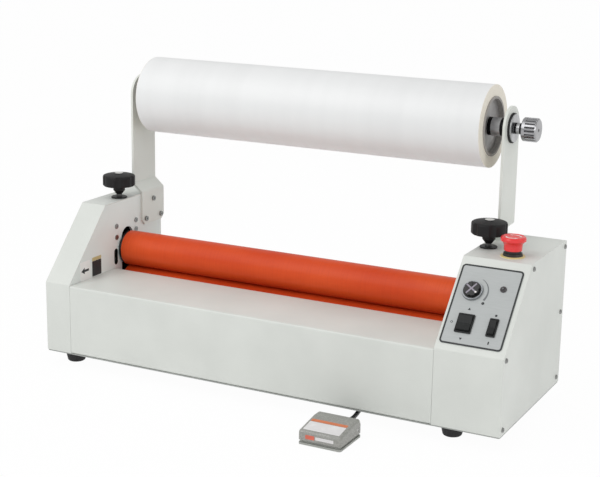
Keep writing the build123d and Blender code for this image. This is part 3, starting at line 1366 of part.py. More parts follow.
save(pedal_treadle.part, "pedal_treadle")

# Strain relief: a ribbed rubber cone out of the base's rear face
RELIEF_END = PEDAL_BACK + RELIEF_LENGTH
with BuildPart() as pedal_gland:
    with BuildSketch(Plane(origin=(PEDAL_X, 0, RELIEF_Z), x_dir=(0, 1, 0), z_dir=(1, 0, 0))):
        with BuildLine():
            Polyline(
                (RELIEF_Y, 0),
                (RELIEF_Y, RELIEF_RADII[0]),
                (RELIEF_END, RELIEF_RADII[1]),
                (RELIEF_END, 0),
                close=True,
            )
        make_face()
        with Locations((PEDAL_BACK + 3, RELIEF_RADII[0]), (PEDAL_BACK + 6, RELIEF_RADII[0])):
            Rectangle(1.2, 2.2, mode=Mode.SUBTRACT)
    revolve(axis=Axis((PEDAL_X, 0, RELIEF_Z), (0, 1, 0)))
save(pedal_gland.part, "pedal_gland")

# The lead's route back under the machine: each point's sway to the side and way back are shares, so that
# it follows the sizes, and its height is in millimetres
FLOOR_RUN = CORD_RADIUS + 0.1
COIL_PITCH = 2 * CORD_RADIUS + 0.6
COIL_Y = BACK + COIL_BEHIND
COIL_X = PEDAL_X + 0.8 * LEAD_SWAY + COIL_RADIUS
COIL_START = (COIL_X - COIL_RADIUS, COIL_Y, FLOOR_RUN)
LEAD_START = (PEDAL_X, RELIEF_END, RELIEF_Z)
LEAD_END = (COIL_START[0], COIL_Y - 2 * CORD_RADIUS, FLOOR_RUN)
WAY_BACK = COIL_Y - FRONT
LEAD_SHARES = [
    (0, -0.03, RELIEF_Z),
    (-0.1, 0.02, 6.4),
    (-0.33, 0.08, FLOOR_RUN),
    (-0.68, 0.16, FLOOR_RUN),
    (-0.95, 0.26, FLOOR_RUN),
    (-1, 0.37, FLOOR_RUN),
    (-0.68, 0.5, FLOOR_RUN),
    (-0.08, 0.63, FLOOR_RUN),
    (0.52, 0.75, FLOOR_RUN),
    (0.8, 0.88, FLOOR_RUN),
]
LEAD = [LEAD_START]
for sway, way, height in LEAD_SHARES:
    LEAD.append((PEDAL_X + sway * LEAD_SWAY, FRONT + way * WAY_BACK, height))
LEAD.append(LEAD_END)


def bend_radii(points):
    """Radius of each bend: as large as its two runs allow."""
    radii = []
    for before, here, after in zip(points, points[1:], points[2:]):
        run_in = Vector(*here) - Vector(*before)
        run_out = Vector(*after) - Vector(*here)
        half_turn = radians(run_in.get_angle(run_out)) / 2
        radii.append(0.45 * min(run_in.length, run_out.length) / tan(half_turn))
    return radii


LEAD_RADII = bend_radii(LEAD)
with BuildPart() as pedal_cord:
    with BuildLine() as lead_path:
        FilletPolyline(*LEAD, radius=LEAD_RADII)
    with BuildSketch(Plane(origin=lead_path.line @ 0, z_dir=lead_path.line % 0)):
        Circle(CORD_RADIUS)
    sweep(path=lead_path.line)
save(pedal_cord.part, "pedal_cord")
LEAD_LENGTH = sum(edge.length for edge in lead_path.edges())
print("lead bend radii", [round(radius) for radius in LEAD_RADII])
print("lead length", round(LEAD_LENGTH, 1), "volume", round(pedal_cord.part.volume, 1))
print("section times length", round(pi * CORD_RADIUS**2 * LEAD_LENGTH, 1))


def coil_arcs():
    """Half turns of the coil as start, middle and end: in on the floor, up at the middle, out on top."""
    arcs = []
    half = COIL_PITCH / 2
    left = -COIL_RADIUS
    low = FLOOR_RUN
    for turn in range(COIL_TURNS):
        radius = -left
        arcs.append(((left, 0, low), (0, radius, low), (radius, 0, low)))
        inner = radius - half
        arcs.append(((radius, 0, low), (half, -inner, low), (half - inner, 0, low)))
        left = half - inner
    core = -left
    high = low + COIL_PITCH
    slant = sqrt(core**2 + half**2)
    arcs.append(((-core, 0, low), (0, slant, low + half), (core, 0, high)))
    right = core
    for turn in range(COIL_TURNS):
        outer = right + half if turn < COIL_TURNS - 1 else right + half + COIL_EXIT / 2
        end = right - 2 * outer
        arcs.append(((right, 0, high), (right - outer, -outer, high), (end, 0, high)))
        if turn < COIL_TURNS - 1:
            arcs.append(((end, 0, high), (0, -end, high), (-end, 0, high)))
            right = -end
    return arcs


def coil_point(point):
    """Point of the coil in the part's frame."""
    return (COIL_X + point[0], COIL_Y + point[1], point[2])


ARCS = [tuple(coil_point(point) for point in arc) for arc in coil_arcs()]
COIL_END = ARCS[-1][2]
PLUG_START = (COIL_END[0], COIL_END[1] + 2 * CORD_RADIUS, COIL_END[2])
with BuildPart() as pedal_cord_coil:
    with BuildLine() as coil_path:
        Line(LEAD_END, ARCS[0][0])
        for arc in ARCS:
            ThreePointArc(*arc)
        Line(COIL_END, PLUG_START)
    with BuildSketch(Plane(origin=LEAD_END, z_dir=(0, 1, 0))):
        Circle(CORD_RADIUS)
    sweep(path=coil_path.line)
save(pedal_cord_coil.part, "pedal_cord_coil")
COIL_LENGTH = sum(edge.length for edge in coil_path.edges())
print("coil length", round(COIL_LENGTH, 1), "volume", round(pedal_cord_coil.part.volume, 1))
print("section times length", round(pi * CORD_RADIUS**2 * COIL_LENGTH, 1))
print("whole lead", round(LEAD_LENGTH + COIL_LENGTH, 1))

# The coil's least gap to itself, between points more than a quarter turn apart along it
coil_samples = [coil_path.line @ (step / 700) for step in range(701)]
apart = int(700 * COIL_RADIUS * pi / 2 / COIL_LENGTH)
coil_gaps = [
    (coil_samples[i] - coil_samples[j]).length
    for i in range(len(coil_samples))
    for j in range(i + apart, len(coil_samples))
]
print("coil least self-gap", round(min(coil_gaps) - 2 * CORD_RADIUS, 2))

# Plug of the lead: clamp cone, shell, knurled coupling ring and pin sleeve, lying on the coil
PLUG_X, PLUG_Y, PLUG_Z = PLUG_START
SHELL_START = PLUG_Y + PLUG_CLAMP[2]
RING_START = SHELL_START + PLUG_SHELL[2]
RING_END = RING_START + PLUG_RING
SLEEVE_END_Y = RING_END + PLUG_SLEEVE[2]
SLEEVE_BORE = PLUG_SLEEVE[0] - PLUG_SLEEVE[1]
with BuildPart() as pedal_plug:
    with BuildSketch(Plane(origin=(PLUG_X, 0, PLUG_Z), x_dir=(0, 1, 0), z_dir=(1, 0, 0))):
        with BuildLine():
            Polyline(
                (PLUG_Y, 0),
                (PLUG_Y, PLUG_CLAMP[0]),
                (SHELL_START, PLUG_CLAMP[1]),
                (SHELL_START, PLUG_SHELL[0]),
                (RING_START, PLUG_SHELL[1]),
                (RING_START, PLUG_RADIUS),
                (RING_END, PLUG_RADIUS),
                (RING_END, PLUG_SLEEVE[0]),
                (SLEEVE_END_Y, PLUG_SLEEVE[0]),
                (SLEEVE_END_Y, SLEEVE_BORE),
                (RING_END - 2, SLEEVE_BORE),
                (RING_END - 2, 0),
                close=True,
            )
        make_face()
    revolve(axis=Axis((PLUG_X, 0, PLUG_Z), (0, 1, 0)))
    with BuildSketch(Plane(origin=(PLUG_X, RING_START + 2, PLUG_Z), z_dir=(0, 1, 0))):
        with PolarLocations(PLUG_RADIUS + 0.4, 18):
            Circle(1)
    extrude(amount=PLUG_RING - 4, mode=Mode.SUBTRACT)
save(pedal_plug.part, "pedal_plug")
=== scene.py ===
# %% Loading the frame
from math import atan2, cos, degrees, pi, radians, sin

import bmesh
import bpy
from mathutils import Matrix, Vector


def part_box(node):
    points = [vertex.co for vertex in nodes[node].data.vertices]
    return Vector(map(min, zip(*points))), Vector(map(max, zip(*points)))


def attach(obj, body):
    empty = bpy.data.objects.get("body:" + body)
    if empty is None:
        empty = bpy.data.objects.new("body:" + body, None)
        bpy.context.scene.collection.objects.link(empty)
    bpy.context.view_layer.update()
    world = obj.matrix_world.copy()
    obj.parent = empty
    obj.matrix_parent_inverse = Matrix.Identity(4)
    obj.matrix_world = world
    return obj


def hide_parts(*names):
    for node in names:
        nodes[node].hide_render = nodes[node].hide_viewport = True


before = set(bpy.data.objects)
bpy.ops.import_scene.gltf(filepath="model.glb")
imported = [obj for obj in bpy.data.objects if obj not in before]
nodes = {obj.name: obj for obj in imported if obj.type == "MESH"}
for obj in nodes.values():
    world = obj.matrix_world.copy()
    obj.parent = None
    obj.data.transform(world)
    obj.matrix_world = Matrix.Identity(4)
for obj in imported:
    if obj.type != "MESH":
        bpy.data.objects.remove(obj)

# %% [markdown]
# # A roll laminator in studio light
# The rigid pieces come from the frame, at their real size and place. This lesson dresses
# them: paint, silicone, film, plastic, plus the marks and the pedal's lead, which are too
# fine or too soft for the frame. Blender works in metres, so MM turns millimetres into them.

MM = 0.001
RIGHTWARD = Vector((1, 0, 0))
BACKWARD = Vector((0, 1, 0))
UPWARD = Vector((0, 0, 1))
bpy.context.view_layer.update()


def span(node):
    """Lowest corner, highest corner and middle of a piece of the frame."""
    low, high = (Vector(corner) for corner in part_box(node))
    return low, high, (low + high) / 2


# %% [markdown]
# ## Camera
# The photograph was taken from the front right, a little above the machine. Its camera was
# worked out from the housing's straight edges: where the eye stood, how it was turned, and
# the lens. The two small shifts put the optical centre where the photograph has it.

# %% Camera
MACHINE_FRONT = span("front_cover")[0].y
EYE = Vector((1.02677, MACHINE_FRONT - 1.8514, 0.80869))
YAW, PITCH, ROLL = radians(27.162), radians(14.148), radians(0.893)
LENS = 84.317
SENSOR_WIDTH = 36
CENTRE_SHIFT = (-0.0011950, 0.000845)
SIGHT_LIMIT = 60


def studio_camera():
    """Camera at the photograph's viewing angle."""
    ahead = Vector((-sin(YAW) * cos(PITCH), cos(YAW) * cos(PITCH), -sin(PITCH)))
    level = Vector((cos(YAW), sin(YAW), 0))
    upward = level.cross(ahead)
    right = cos(ROLL) * level + sin(ROLL) * upward
    up = cos(ROLL) * upward - sin(ROLL) * level
    lens = bpy.data.cameras.new("studio_camera")
    lens.sensor_width = SENSOR_WIDTH
    lens.sensor_fit = "HORIZONTAL"
    lens.lens = LENS
    lens.shift_x, lens.shift_y = CENTRE_SHIFT
    lens.clip_end = SIGHT_LIMIT
    camera = bpy.data.objects.new("studio_camera", lens)
    turn = Matrix((right, up, -ahead)).transposed().to_4x4()
    camera.matrix_world = Matrix.Translation(EYE) @ turn
    bpy.context.scene.collection.objects.link(camera)
    bpy.context.scene.camera = camera


studio_camera()
print("camera at", tuple(round(value, 3) for value in EYE))

# %% [markdown]
# ## Materials as Python expressions
# A node tree is easier to read as a sum than as boxes and wires. The class below wraps a
# socket, so that `1 - mask` or `speckle * 0.2 + 0.5` adds the Math nodes that it needs.

# %% Sockets that can be added and multiplied


class Socket:
    """An output of a shader node that works in Python expressions."""

    def __init__(self, finish, output):
        self.finish = finish
        self.output = output

    def math(self, operation, *values):
        """Math node of this socket and other values."""
        inputs = dict(enumerate((self, *values)))
        return self.finish.node("Math", {"operation": operation}, inputs)

    def __add__(self, other):
        return self.math("ADD", other)

    __radd__ = __add__

    def __mul__(self, other):
        return self.math("MULTIPLY", other)

    __rmul__ = __mul__

    def __sub__(self, other):
        return self.math("SUBTRACT", other)

    def __rsub__(self, other):
        return self.finish.node("Math", {"operation": "SUBTRACT"}, {0: other, 1: self})

    def __gt__(self, limit):
        return self.math("GREATER_THAN", limit)

    def __lt__(self, limit):
        return self.math("LESS_THAN", limit)

    def between(self, low, high):
        """0 at low, 1 at high, and a straight ramp between them."""
        inputs = {"Value": self, "From Min": low, "From Max": high, "To Min": 0.0, "To Max": 1.0}
        return self.finish.node("MapRange", {"clamp": True}, inputs)


def shade(red, green, blue):
    """Colour as seen on a screen, 0 to 255, as the linear values that a shader takes."""
    linear = [(value / 255 / 12.92) if value < 11 else ((value / 255 + 0.055) / 1.055) ** 2.4
              for value in (red, green, blue)]
    return (*linear, 1.0)


print("a mid grey of 128 on a screen is", round(shade(128, 128, 128)[0], 3), "in a shader")

# %% [markdown]
# ## One method for every other node
# `Finish.node` takes a node's type, its settings and the values or links of its sockets.
# Everything else is built on it: noise for grain, a bump for touch, a mix for colour. The
# Mix node has sockets of its own for each kind of value, under like names, so the ones for
# colours are found by number.

# %% The Finish class
MIX_FACTOR, MIX_FIRST, MIX_SECOND, MIX_RESULT = 0, 6, 7, 2
AXIS_X, AXIS_Z = 0, 2


class Finish:
    """A material, with its Principled shader set by name."""

    def __init__(self, name, colour, roughness, more=None):
        self.material = bpy.data.materials.new(name)
        self.material.use_nodes = True
        self.tree = self.material.node_tree
        self.shader = self.tree.nodes["Principled BSDF"]
        self.set("Base Color", colour)
        self.set("Roughness", roughness)
        for socket, value in (more or {}).items():
            self.set(socket, value)

    def set(self, socket, value):
        """Set or link one socket of the shader."""
        self.join(self.shader.inputs[socket], value)

    def join(self, target, value):
        """Give a socket a number, a colour or another node's output."""
        if isinstance(value, Socket):
            self.tree.links.new(value.output, target)
        else:
            target.default_value = value

    def node(self, kind, settings=None, inputs=None, output=0):
        """Any shader node: its settings first, then its sockets by name or number."""
        new = self.tree.nodes.new("ShaderNode" + kind)
        for name, value in (settings or {}).items():
            setattr(new, name, value)
        for name, value in (inputs or {}).items():
            self.join(new.inputs[name], value)
        return Socket(self, new.outputs[output])

    def place(self, scale=(1, 1, 1), shift=(0, 0, 0)):
        """Object coordinates, moved so that shift is the middle, then scaled."""
        here = self.node("TexCoord", output="Object")
        moved = self.node("VectorMath", {"operation": "SUBTRACT"}, {0: here, 1: shift})
        return self.node("VectorMath", {"operation": "MULTIPLY"}, {0: moved, 1: scale})

    def along(self, axis, shift=(0, 0, 0)):
        """How far a point lies along one axis from shift."""
        return self.node("SeparateXYZ", inputs={0: self.place(shift=shift)}, output=axis)

    def length(self, vector):
        """Length of a vector."""
        return self.node("VectorMath", {"operation": "LENGTH"}, {0: vector}, output="Value")

    def from_axis(self, middle, across):
        """Distance from an axis: across is 1 for the two directions that count."""
        return self.length(self.place(across, middle))

    def grain(self, size, detail=2, stretch=(1, 1, 1)):
        """Noise from 0 to 1 whose spots are about size metres across."""
        where = self.place(stretch)
        return self.node("TexNoise", inputs={"Vector": where, "Scale": 1 / size, "Detail": detail})

    def blend(self, factor, first, second):
        """Mix of two colours."""
        inputs = {MIX_FACTOR: factor, MIX_FIRST: first, MIX_SECOND: second}
        return self.node("Mix", {"data_type": "RGBA"}, inputs, output=MIX_RESULT)

    def paint(self, mask, colour):
        """Another colour where a mask is 1, over what the colour was so far."""
        below = Socket(self, self.shader.inputs["Base Color"].links[0].from_socket)
        self.set("Base Color", self.blend(mask, below, colour))

    def relief(self, height, depth, strength):
        """Bump of a height from 0 to 1, depth metres deep."""
        inputs = {"Height": height, "Distance": depth, "Strength": strength}
        self.set("Normal", self.node("Bump", inputs=inputs))

    def on(self, *pieces):
        """Put the finish on pieces of the frame, by name, or on new objects."""
        for piece in pieces:
            piece = nodes[piece] if isinstance(piece, str) else piece
            piece.data.materials.clear()
            piece.data.materials.append(self.material)


# %% [markdown]
# ## Powder-coated sheet
# The covers are steel sheet with a pale, fine-textured powder coat. It isn't flat: the coat
# has an orange-peel relief of about a millimetre, and its tone drifts a little over a hand's
# width. Both come from noise on Object coordinates, so the pattern runs on from sheet to
# sheet. The arms and the motor get the same coat in tones of their own. The base plate gets it
# in a darker grey, as painted shade for its underside flange, which lies in shadow.

# %% Powder coat
TONE_PATCH = 110 * MM
SPECK = 0.9 * MM
ORANGE_PEEL = 1.2 * MM
PEEL_DEPTH = 0.12 * MM


def powder_coat(name, light, dark, roughness=0.42):
    """Fine-textured paint whose tone drifts between two shades."""
    coat = Finish(name, light, roughness, {"Specular IOR Level": 0.4})
    drift = coat.grain(TONE_PATCH, 3)
    speck = coat.grain(SPECK, 1)
    tone = coat.blend(drift.between(0.3, 0.7), light, dark)
    coat.set("Base Color", coat.blend(speck.between(0.62, 0.8) * 0.25, tone, dark))
    coat.set("Roughness", drift * 0.12 + (roughness - 0.06))
    coat.relief(coat.grain(ORANGE_PEEL), PEEL_DEPTH, 0.35)
    return coat


COVERS = ["left_cover", "right_cover", "front_cover", "rear_cover", "left_end_panel", "right_end_panel"]
ARMS = ["supply_arm_left", "supply_arm_right"]
PAINTS = [
    ("pale_powder_coat", shade(221, 224, 219), shade(213, 216, 211), 0.42, COVERS),
    ("arm_powder_coat", shade(225, 228, 222), shade(217, 220, 214), 0.36, ARMS),
    # Painted shade: the base plate's darker grey stands for the shadow on its underside flange.
    ("base_sheet_paint", shade(168, 171, 168), shade(156, 159, 156), 0.5, ["base_plate"]),
    # Painted shade: the guides are near-black for the dark inside of the housing behind the slots.
    ("guide_paint", shade(34, 34, 35), shade(28, 28, 29), 0.5, ["block_guides"]),
    ("motor_paint", shade(52, 54, 57), shade(44, 46, 49), 0.45, ["gear_motor", "speed_potentiometer"]),
]
for *paint, painted in PAINTS:
    powder_coat(*paint).on(*painted)
print("powder coat on", sum(len(row[-1]) for row in PAINTS), "pieces")

# %% [markdown]
# ## Silicone rollers
# Laminating rollers are ground, heat-proof silicone: orange-red, satin, with the finest lines
# where the grindstone went round. The noise is drawn out round the roller, so that it makes
# rings, and a second, large noise gives the faint clouds of wear.

# %% Silicone
WEAR_CLOUD = 60 * MM
GRINDING_LINE = 1.1 * MM
LINE_DEPTH = 0.08 * MM
silicone = Finish("ground_silicone", shade(214, 84, 45), 0.38, {"Specular IOR Level": 0.2})
cloud = silicone.grain(WEAR_CLOUD, 3, (0.35, 1, 1))
rings = silicone.grain(GRINDING_LINE, 2, (1, 0.02, 0.02))
warm = silicone.blend(cloud.between(0.35, 0.7), shade(222, 84, 36), shade(208, 68, 26))
silicone.set("Base Color", silicone.blend(rings.between(0.45, 0.75) * 0.3, warm, shade(194, 60, 24)))
silicone.set("Roughness", cloud * 0.14 + rings * 0.06 + 0.27)
silicone.relief(rings, LINE_DEPTH, 0.4)
silicone.on("upper_roller_rubber", "lower_roller_rubber")
sleeve_start, sleeve_end, _ = span("upper_roller_rubber")
print("silicone on two rollers,", round((sleeve_end.x - sleeve_start.x) / MM), "mm long")

# %% [markdown]
# ## Metals
# Every metal here was cut, turned or plated, and a cut surface has a gloss with a direction.
# One function draws noise out along the way the tool went: round the shaft for turned work,
# across for milled work, and not at all on plated pieces.

# %% Turned, milled and plated metal
TOOL_MARK = 0.7 * MM
PLATING = 2 * MM
HANDLING_SMEAR = 20 * MM
MARK_DEPTH = 0.04 * MM


def cut_metal(name, colour, roughness, stretch, groove=TOOL_MARK):
    """Metal with fine tool marks: stretch scales the noise's axes, and is small along the marks."""
    metal = Finish(name, colour, roughness, {"Metallic": 1.0})
    marks = metal.grain(groove, 3, stretch)
    smear = metal.grain(HANDLING_SMEAR, 3)
    darker = tuple(value * 0.72 for value in colour[:3]) + (1.0,)
    metal.set("Base Color", metal.blend(marks.between(0.35, 0.75) * 0.5 + smear * 0.15, colour, darker))
    metal.set("Roughness", marks * 0.16 + smear * 0.12 + (roughness - 0.12))
    metal.relief(marks, MARK_DEPTH, 0.35)
    return metal


TURNED = (1, 0.05, 0.05)
MILLED = (1, 0.04, 1)
HOBBED = (0.05, 1, 1)
EVEN = (1, 1, 1)
CORES = ["upper_roller_core", "lower_roller_core"]
BLOCKS = ["upper_blocks", "lower_blocks"]
BEARINGS = ["upper_bearings", "lower_bearings"]
GEARS = ["drive_gear", "motor_pinion"]
SMALL_PLATED = ["foot_bolts", "pedal_pin", "footswitch_socket", "pedal_plug"]
SCREWS = ["cover_screws", "frame_screws"]
METALS = [
    ("turned_steel", shade(205, 206, 208), 0.28, TURNED, TOOL_MARK, ["tie_bars"]),
    ("blackened_steel", shade(74, 74, 76), 0.42, TURNED, TOOL_MARK, CORES),
    # Painted shade: the roller blocks are dark steel for the dark inside of the housing.
    ("black_oxide", shade(50, 50, 52), 0.46, MILLED, TOOL_MARK, BLOCKS),
    ("bearing_steel", shade(196, 198, 202), 0.2, TURNED, TOOL_MARK, BEARINGS),
    ("gear_steel", shade(150, 150, 152), 0.34, HOBBED, TOOL_MARK, GEARS),
    ("bright_plate", shade(206, 206, 206), 0.24, EVEN, PLATING, SMALL_PLATED),
    ("dark_screw", shade(150, 151, 149), 0.36, EVEN, PLATING, SCREWS),
]
for *metal, machined in METALS:
    cut_metal(*metal).on(*machined)
print(len(METALS), "metals on", sum(len(row[-1]) for row in METALS), "pieces")

# %% [markdown]
# ## Plastics and rubber
# Moulded parts are never quite one colour. A fine spark-eroded grain breaks the gloss, and
# broad patches of wear are a little paler and duller. The depth of the grain tells the soft
# rubber of the feet from the hard plastic of a switch.

# %% Moulded plastic
ERODED_GRAIN = 0.6 * MM
GRAIN_DEPTH = 0.05 * MM
WEAR_PATCH = 14 * MM


def moulded(name, colour, roughness, grain=ERODED_GRAIN, depth=GRAIN_DEPTH, more=None):
    """Moulded plastic or rubber with an eroded grain."""
    plastic = Finish(name, colour, roughness, more)
    pits = plastic.grain(grain)
    wear = plastic.grain(WEAR_PATCH, 3)
    lighter = tuple(min(1.0, value * 1.5 + 0.004) for value in colour[:3]) + (1.0,)
    plastic.set("Base Color", plastic.blend(wear.between(0.5, 0.8) * 0.45, colour, lighter))
    plastic.set("Roughness", pits * 0.1 + wear * 0.14 + (roughness - 0.12))
    plastic.relief(pits, depth, 0.5)
    return plastic


SOFT_GLOSS = {"Specular IOR Level": 0.25}
THIN_LACQUER = {"Coat Weight": 0.25}
moulded("foot_rubber", shade(38, 38, 39), 0.72, 1.2 * MM, 0.12 * MM).on("feet")
moulded("washer_black", shade(26, 26, 27), 0.5).on("knob_washers")
switch_black = moulded("switch_black", shade(27, 29, 29), 0.42, more=SOFT_GLOSS)
switch_black.on("switch_bezels", "direction_rocker", "mode_rocker")
moulded("socket_black", shade(30, 30, 31), 0.5).on("power_inlet", "pedal_switch", "pedal_gland")
moulded("nylon", shade(222, 220, 208), 0.45).on("arm_bushings")
moulded("friction_pad", shade(34, 34, 36), 0.75, 1.6 * MM, 0.2 * MM).on("brake_pad")
stop_red = moulded("stop_red", shade(233, 46, 48), 0.3, 0.9 * MM, 0.03 * MM, THIN_LACQUER)
stop_red.on("estop_head", "estop_plunger")
moulded("pedal_sheet", shade(166, 168, 163), 0.5).on("pedal_base")
moulded("board_green", shade(36, 104, 62), 0.4).on("circuit_board")
print("moulded finishes on the feet, the switches and the emergency stop")

# %% [markdown]
# ## Parts of one piece in two colours
# The cap of each pressure knob and the ring under the emergency stop are of another colour
# than the rest of their piece. The cut wall of the left frame's sight slot is painted near-black
# as painted shade, for the dark inside of the housing. A mask is worked out from the place on
# the piece: how far from its axis, and how high.

# %% Pressure knobs
HOUSING_TOP = span("right_cover")[1].z
CAP_RADIUS = 7.6 * MM
CAP_DEPTH = 1.6 * MM
SCREW_RADIUS = 5.2 * MM
SCREW_TOP = HOUSING_TOP + 8 * MM


def pressure_knob_finish(node):
    """Black knob with a pale cap in its middle and a bright screw below."""
    _, high, middle = span(node)
    knob = moulded(node + "_black", shade(27, 26, 27), 0.5, 0.8 * MM, 0.09 * MM, SOFT_GLOSS)
    height = knob.along(AXIS_Z)
    radius = knob.from_axis(middle, (1, 1, 0))
    cap = (radius < CAP_RADIUS) * (height > high.z - CAP_DEPTH)
    screw = (radius < SCREW_RADIUS) * (height < SCREW_TOP)
    knob.paint(cap, shade(206, 206, 203))
    knob.paint(screw, shade(104, 104, 104))
    knob.set("Metallic", screw)
    knob.on(node)


for side in ("left", "right"):
    pressure_knob_finish(f"pressure_knob_{side}")
print("pressure knobs with their caps at", round(span("pressure_knob_left")[1].z, 3), "m")

# %% Side frames
# Painted light: the side frames get a lighter copy of the covers' pale paint, for the light that falls on
# the inner walls.
FRAME_LIGHT = shade(230, 237, 234)
FRAME_DARK = shade(223, 230, 227)
FRAME_LOW, FRAME_HIGH, FRAME_MIDDLE = span("side_frame_left")
SIGHT_SLOT = Vector((0, MACHINE_FRONT + 138.6 * MM, HOUSING_TOP - 98.5 * MM))
SLOT_REACH = 15.5 * MM
PAINT_OVERLAP = 0.15 * MM
frame_paint = powder_coat("frame_powder_coat", FRAME_LIGHT, FRAME_DARK)
near_slot = frame_paint.from_axis(SIGHT_SLOT, (0, 1, 1)) < SLOT_REACH
from_core = frame_paint.along(AXIS_X, FRAME_MIDDLE).math("ABSOLUTE")
half_thickness = (FRAME_HIGH.x - FRAME_LOW.x) / 2
# Painted shade: the cut wall inside the sight slot is painted near-black for the dark inside of the
# housing.
frame_paint.paint(near_slot * (from_core < half_thickness - PAINT_OVERLAP), shade(24, 20, 17))
frame_paint.on("side_frame_left")
powder_coat("right_frame_paint", FRAME_LIGHT, FRAME_DARK).on("side_frame_right")
print("side frames painted, each", round(2 * half_thickness / MM, 2), "mm thick")

# %% Ring under the emergency stop
RING_RISE = 1.5 * MM
RING_SINK = 0.2 * MM
stop_base = moulded("stop_base", shade(34, 32, 30), 0.45)
stop_height = stop_base.along(AXIS_Z)
stop_ring = (stop_height < HOUSING_TOP + RING_RISE) * (stop_height > HOUSING_TOP - RING_SINK)
stop_base.paint(stop_ring, shade(228, 212, 150))
stop_base.on("estop_base")
print("ring of the emergency stop up to", round(HOUSING_TOP + RING_RISE, 4), "m")

# %% [markdown]
# ## Film roll
# The roll is hundreds of turns of clear-backed film, so its side is a smooth, satin white
# with the faintest waves, whose faint bands of tone are painted reflection, and its two ends
# show the turns as fine rings, a little creamy.
# The same finish does both: a mask finds the end faces by their place along the roll. The
# core inside is grey card, whose fibres run along it.

# %% Film
FILM_LOW, FILM_HIGH, FILM_MIDDLE = span("film_roll")
END_SKIN = 0.4 * MM
TURNS_PER_METRE = 2600.0
TURN_NOISE = {"noise_dimensions": "1D"}
FILM_WAVE = 30 * MM
WAVE_DEPTH = 0.25 * MM
film = Finish("wound_film", shade(240, 240, 238), 0.3, {"Coat Weight": 0.1, "Coat Roughness": 0.3})
film_along = film.along(AXIS_X)
film_end = (film_along < FILM_LOW.x + END_SKIN) + (film_along > FILM_HIGH.x - END_SKIN)
film_radius = film.from_axis(FILM_MIDDLE, (0, 1, 1))
turns = film.node("TexNoise", TURN_NOISE, {"W": film_radius, "Scale": TURNS_PER_METRE, "Detail": 2.0})
waves = film.grain(FILM_WAVE, 2, (1, 0.1, 0.1))
# Painted reflection: the waves shift the side's tone by a few steps, while their bump is the film's own
# waviness.
side_white = film.blend(waves.between(0.35, 0.7), shade(232, 233, 233), shade(229, 230, 230))
end_cream = film.blend(turns.between(0.35, 0.7), shade(246, 241, 229), shade(228, 221, 206))
film.set("Base Color", film.blend(film_end, side_white, end_cream))
film.set("Roughness", film_end * 0.2 + waves * 0.04 + 0.38)
film.relief(waves * (1 - film_end) + turns * film_end * 0.1, WAVE_DEPTH, 0.25)
film.on("film_roll")
print("film roll,", round((FILM_HIGH.z - FILM_LOW.z) / MM, 1), "mm thick")

# %% Core
CARD_FIBRE = 1.1 * MM
FIBRE_DEPTH = 0.2 * MM
card = Finish("core_card", shade(168, 165, 162), 0.8)
fibre = card.grain(CARD_FIBRE, 4, (0.15, 1, 1))
card.set("Base Color", card.blend(fibre.between(0.3, 0.7), shade(176, 173, 170), shade(152, 148, 145)))
card.relief(fibre, FIBRE_DEPTH, 0.6)
card.on("film_core")
print("card on the core and its fibres", round(CARD_FIBRE / MM, 1), "mm apart")

# %% [markdown]
# ## Chucks, shaft and tension knob
# At the roll's ends sit grey chucks with a bright hub, crossed by two dark rings of painted
# shade where the clamp is grooved. Outside the right arm the shaft shows two dark rings as well,
# and the knurled knob is bright on its ridges, with painted shade in its flutes. A ring is
# painted where the place along X lies between two values, and one function adds up as many as
# are listed.

# %% Chucks
SHAFT_AXIS = FILM_MIDDLE
HUB_REACH = 14.8 * MM
HUB_END = span("core_chucks")[1].x - SHAFT_AXIS.x
HUB_RINGS = [(2, 8), (23, 29)]


def band(along, start, end):
    """Mask that is 1 from start to end along an axis."""
    return (along > start) * (along < end)


def ringed(along, rings):
    """Mask that is 1 in each ring, given by its start and end in millimetres."""
    return sum(band(along, start * MM, end * MM) for start, end in rings)


chuck = cut_metal("chuck_grey", shade(172, 170, 169), 0.42, TURNED)
on_hub = chuck.from_axis(SHAFT_AXIS, (0, 1, 1)) < HUB_REACH
inwards = HUB_END - chuck.along(AXIS_X, SHAFT_AXIS).math("ABSOLUTE")
# Painted shade: the hub's two dark rings stand for the shade in the clamp's grooves.
hub_colour = chuck.blend(ringed(inwards, HUB_RINGS), shade(196, 197, 199), shade(36, 36, 38))
chuck.paint(on_hub, hub_colour)
chuck.set("Metallic", on_hub * 0.5 + 0.45)
chuck.on("core_chucks")
print("chucks end", round(HUB_END / MM, 1), "mm from the roll's middle")

# %% Shaft and tension knob
ARM_FACE = span("supply_arm_right")[1].x
SHAFT_RINGS = [(5.5, 9), (14, 18)]
shaft = cut_metal("shaft_steel", shade(188, 189, 190), 0.3, TURNED)
shaft.paint(ringed(shaft.along(AXIS_X) - ARM_FACE, SHAFT_RINGS), shade(40, 40, 42))
shaft.on("supply_shaft")

KNOB_LOW, KNOB_HIGH, _ = span("tension_knob")
KNOB_COLLAR = 5.9 * MM
KNOB_RIM = 2 * MM
RIDGE_TOP, FLUTE_TOP = 18.9 * MM, 18.2 * MM
FLUTE_LOW, FLUTE_FLOOR = 17.4 * MM, 17.0 * MM
knurled = cut_metal("knurled_alloy", shade(168, 168, 170), 0.24, TURNED, 0.9 * MM)
knob_radius = knurled.from_axis(SHAFT_AXIS, (0, 1, 1))
in_flute = knob_radius.between(RIDGE_TOP, FLUTE_TOP) * knob_radius.between(FLUTE_FLOOR, FLUTE_LOW)
fluted = band(knurled.along(AXIS_X), KNOB_LOW.x + KNOB_COLLAR, KNOB_HIGH.x - KNOB_RIM)
# Painted shade: the deep part of each flute is painted darker.
knurled.paint(in_flute * fluted, shade(66, 66, 68))
knurled.on("tension_knob")
print("tension knob starts", round((KNOB_LOW.x - ARM_FACE) / MM, 1), "mm outside the arm")

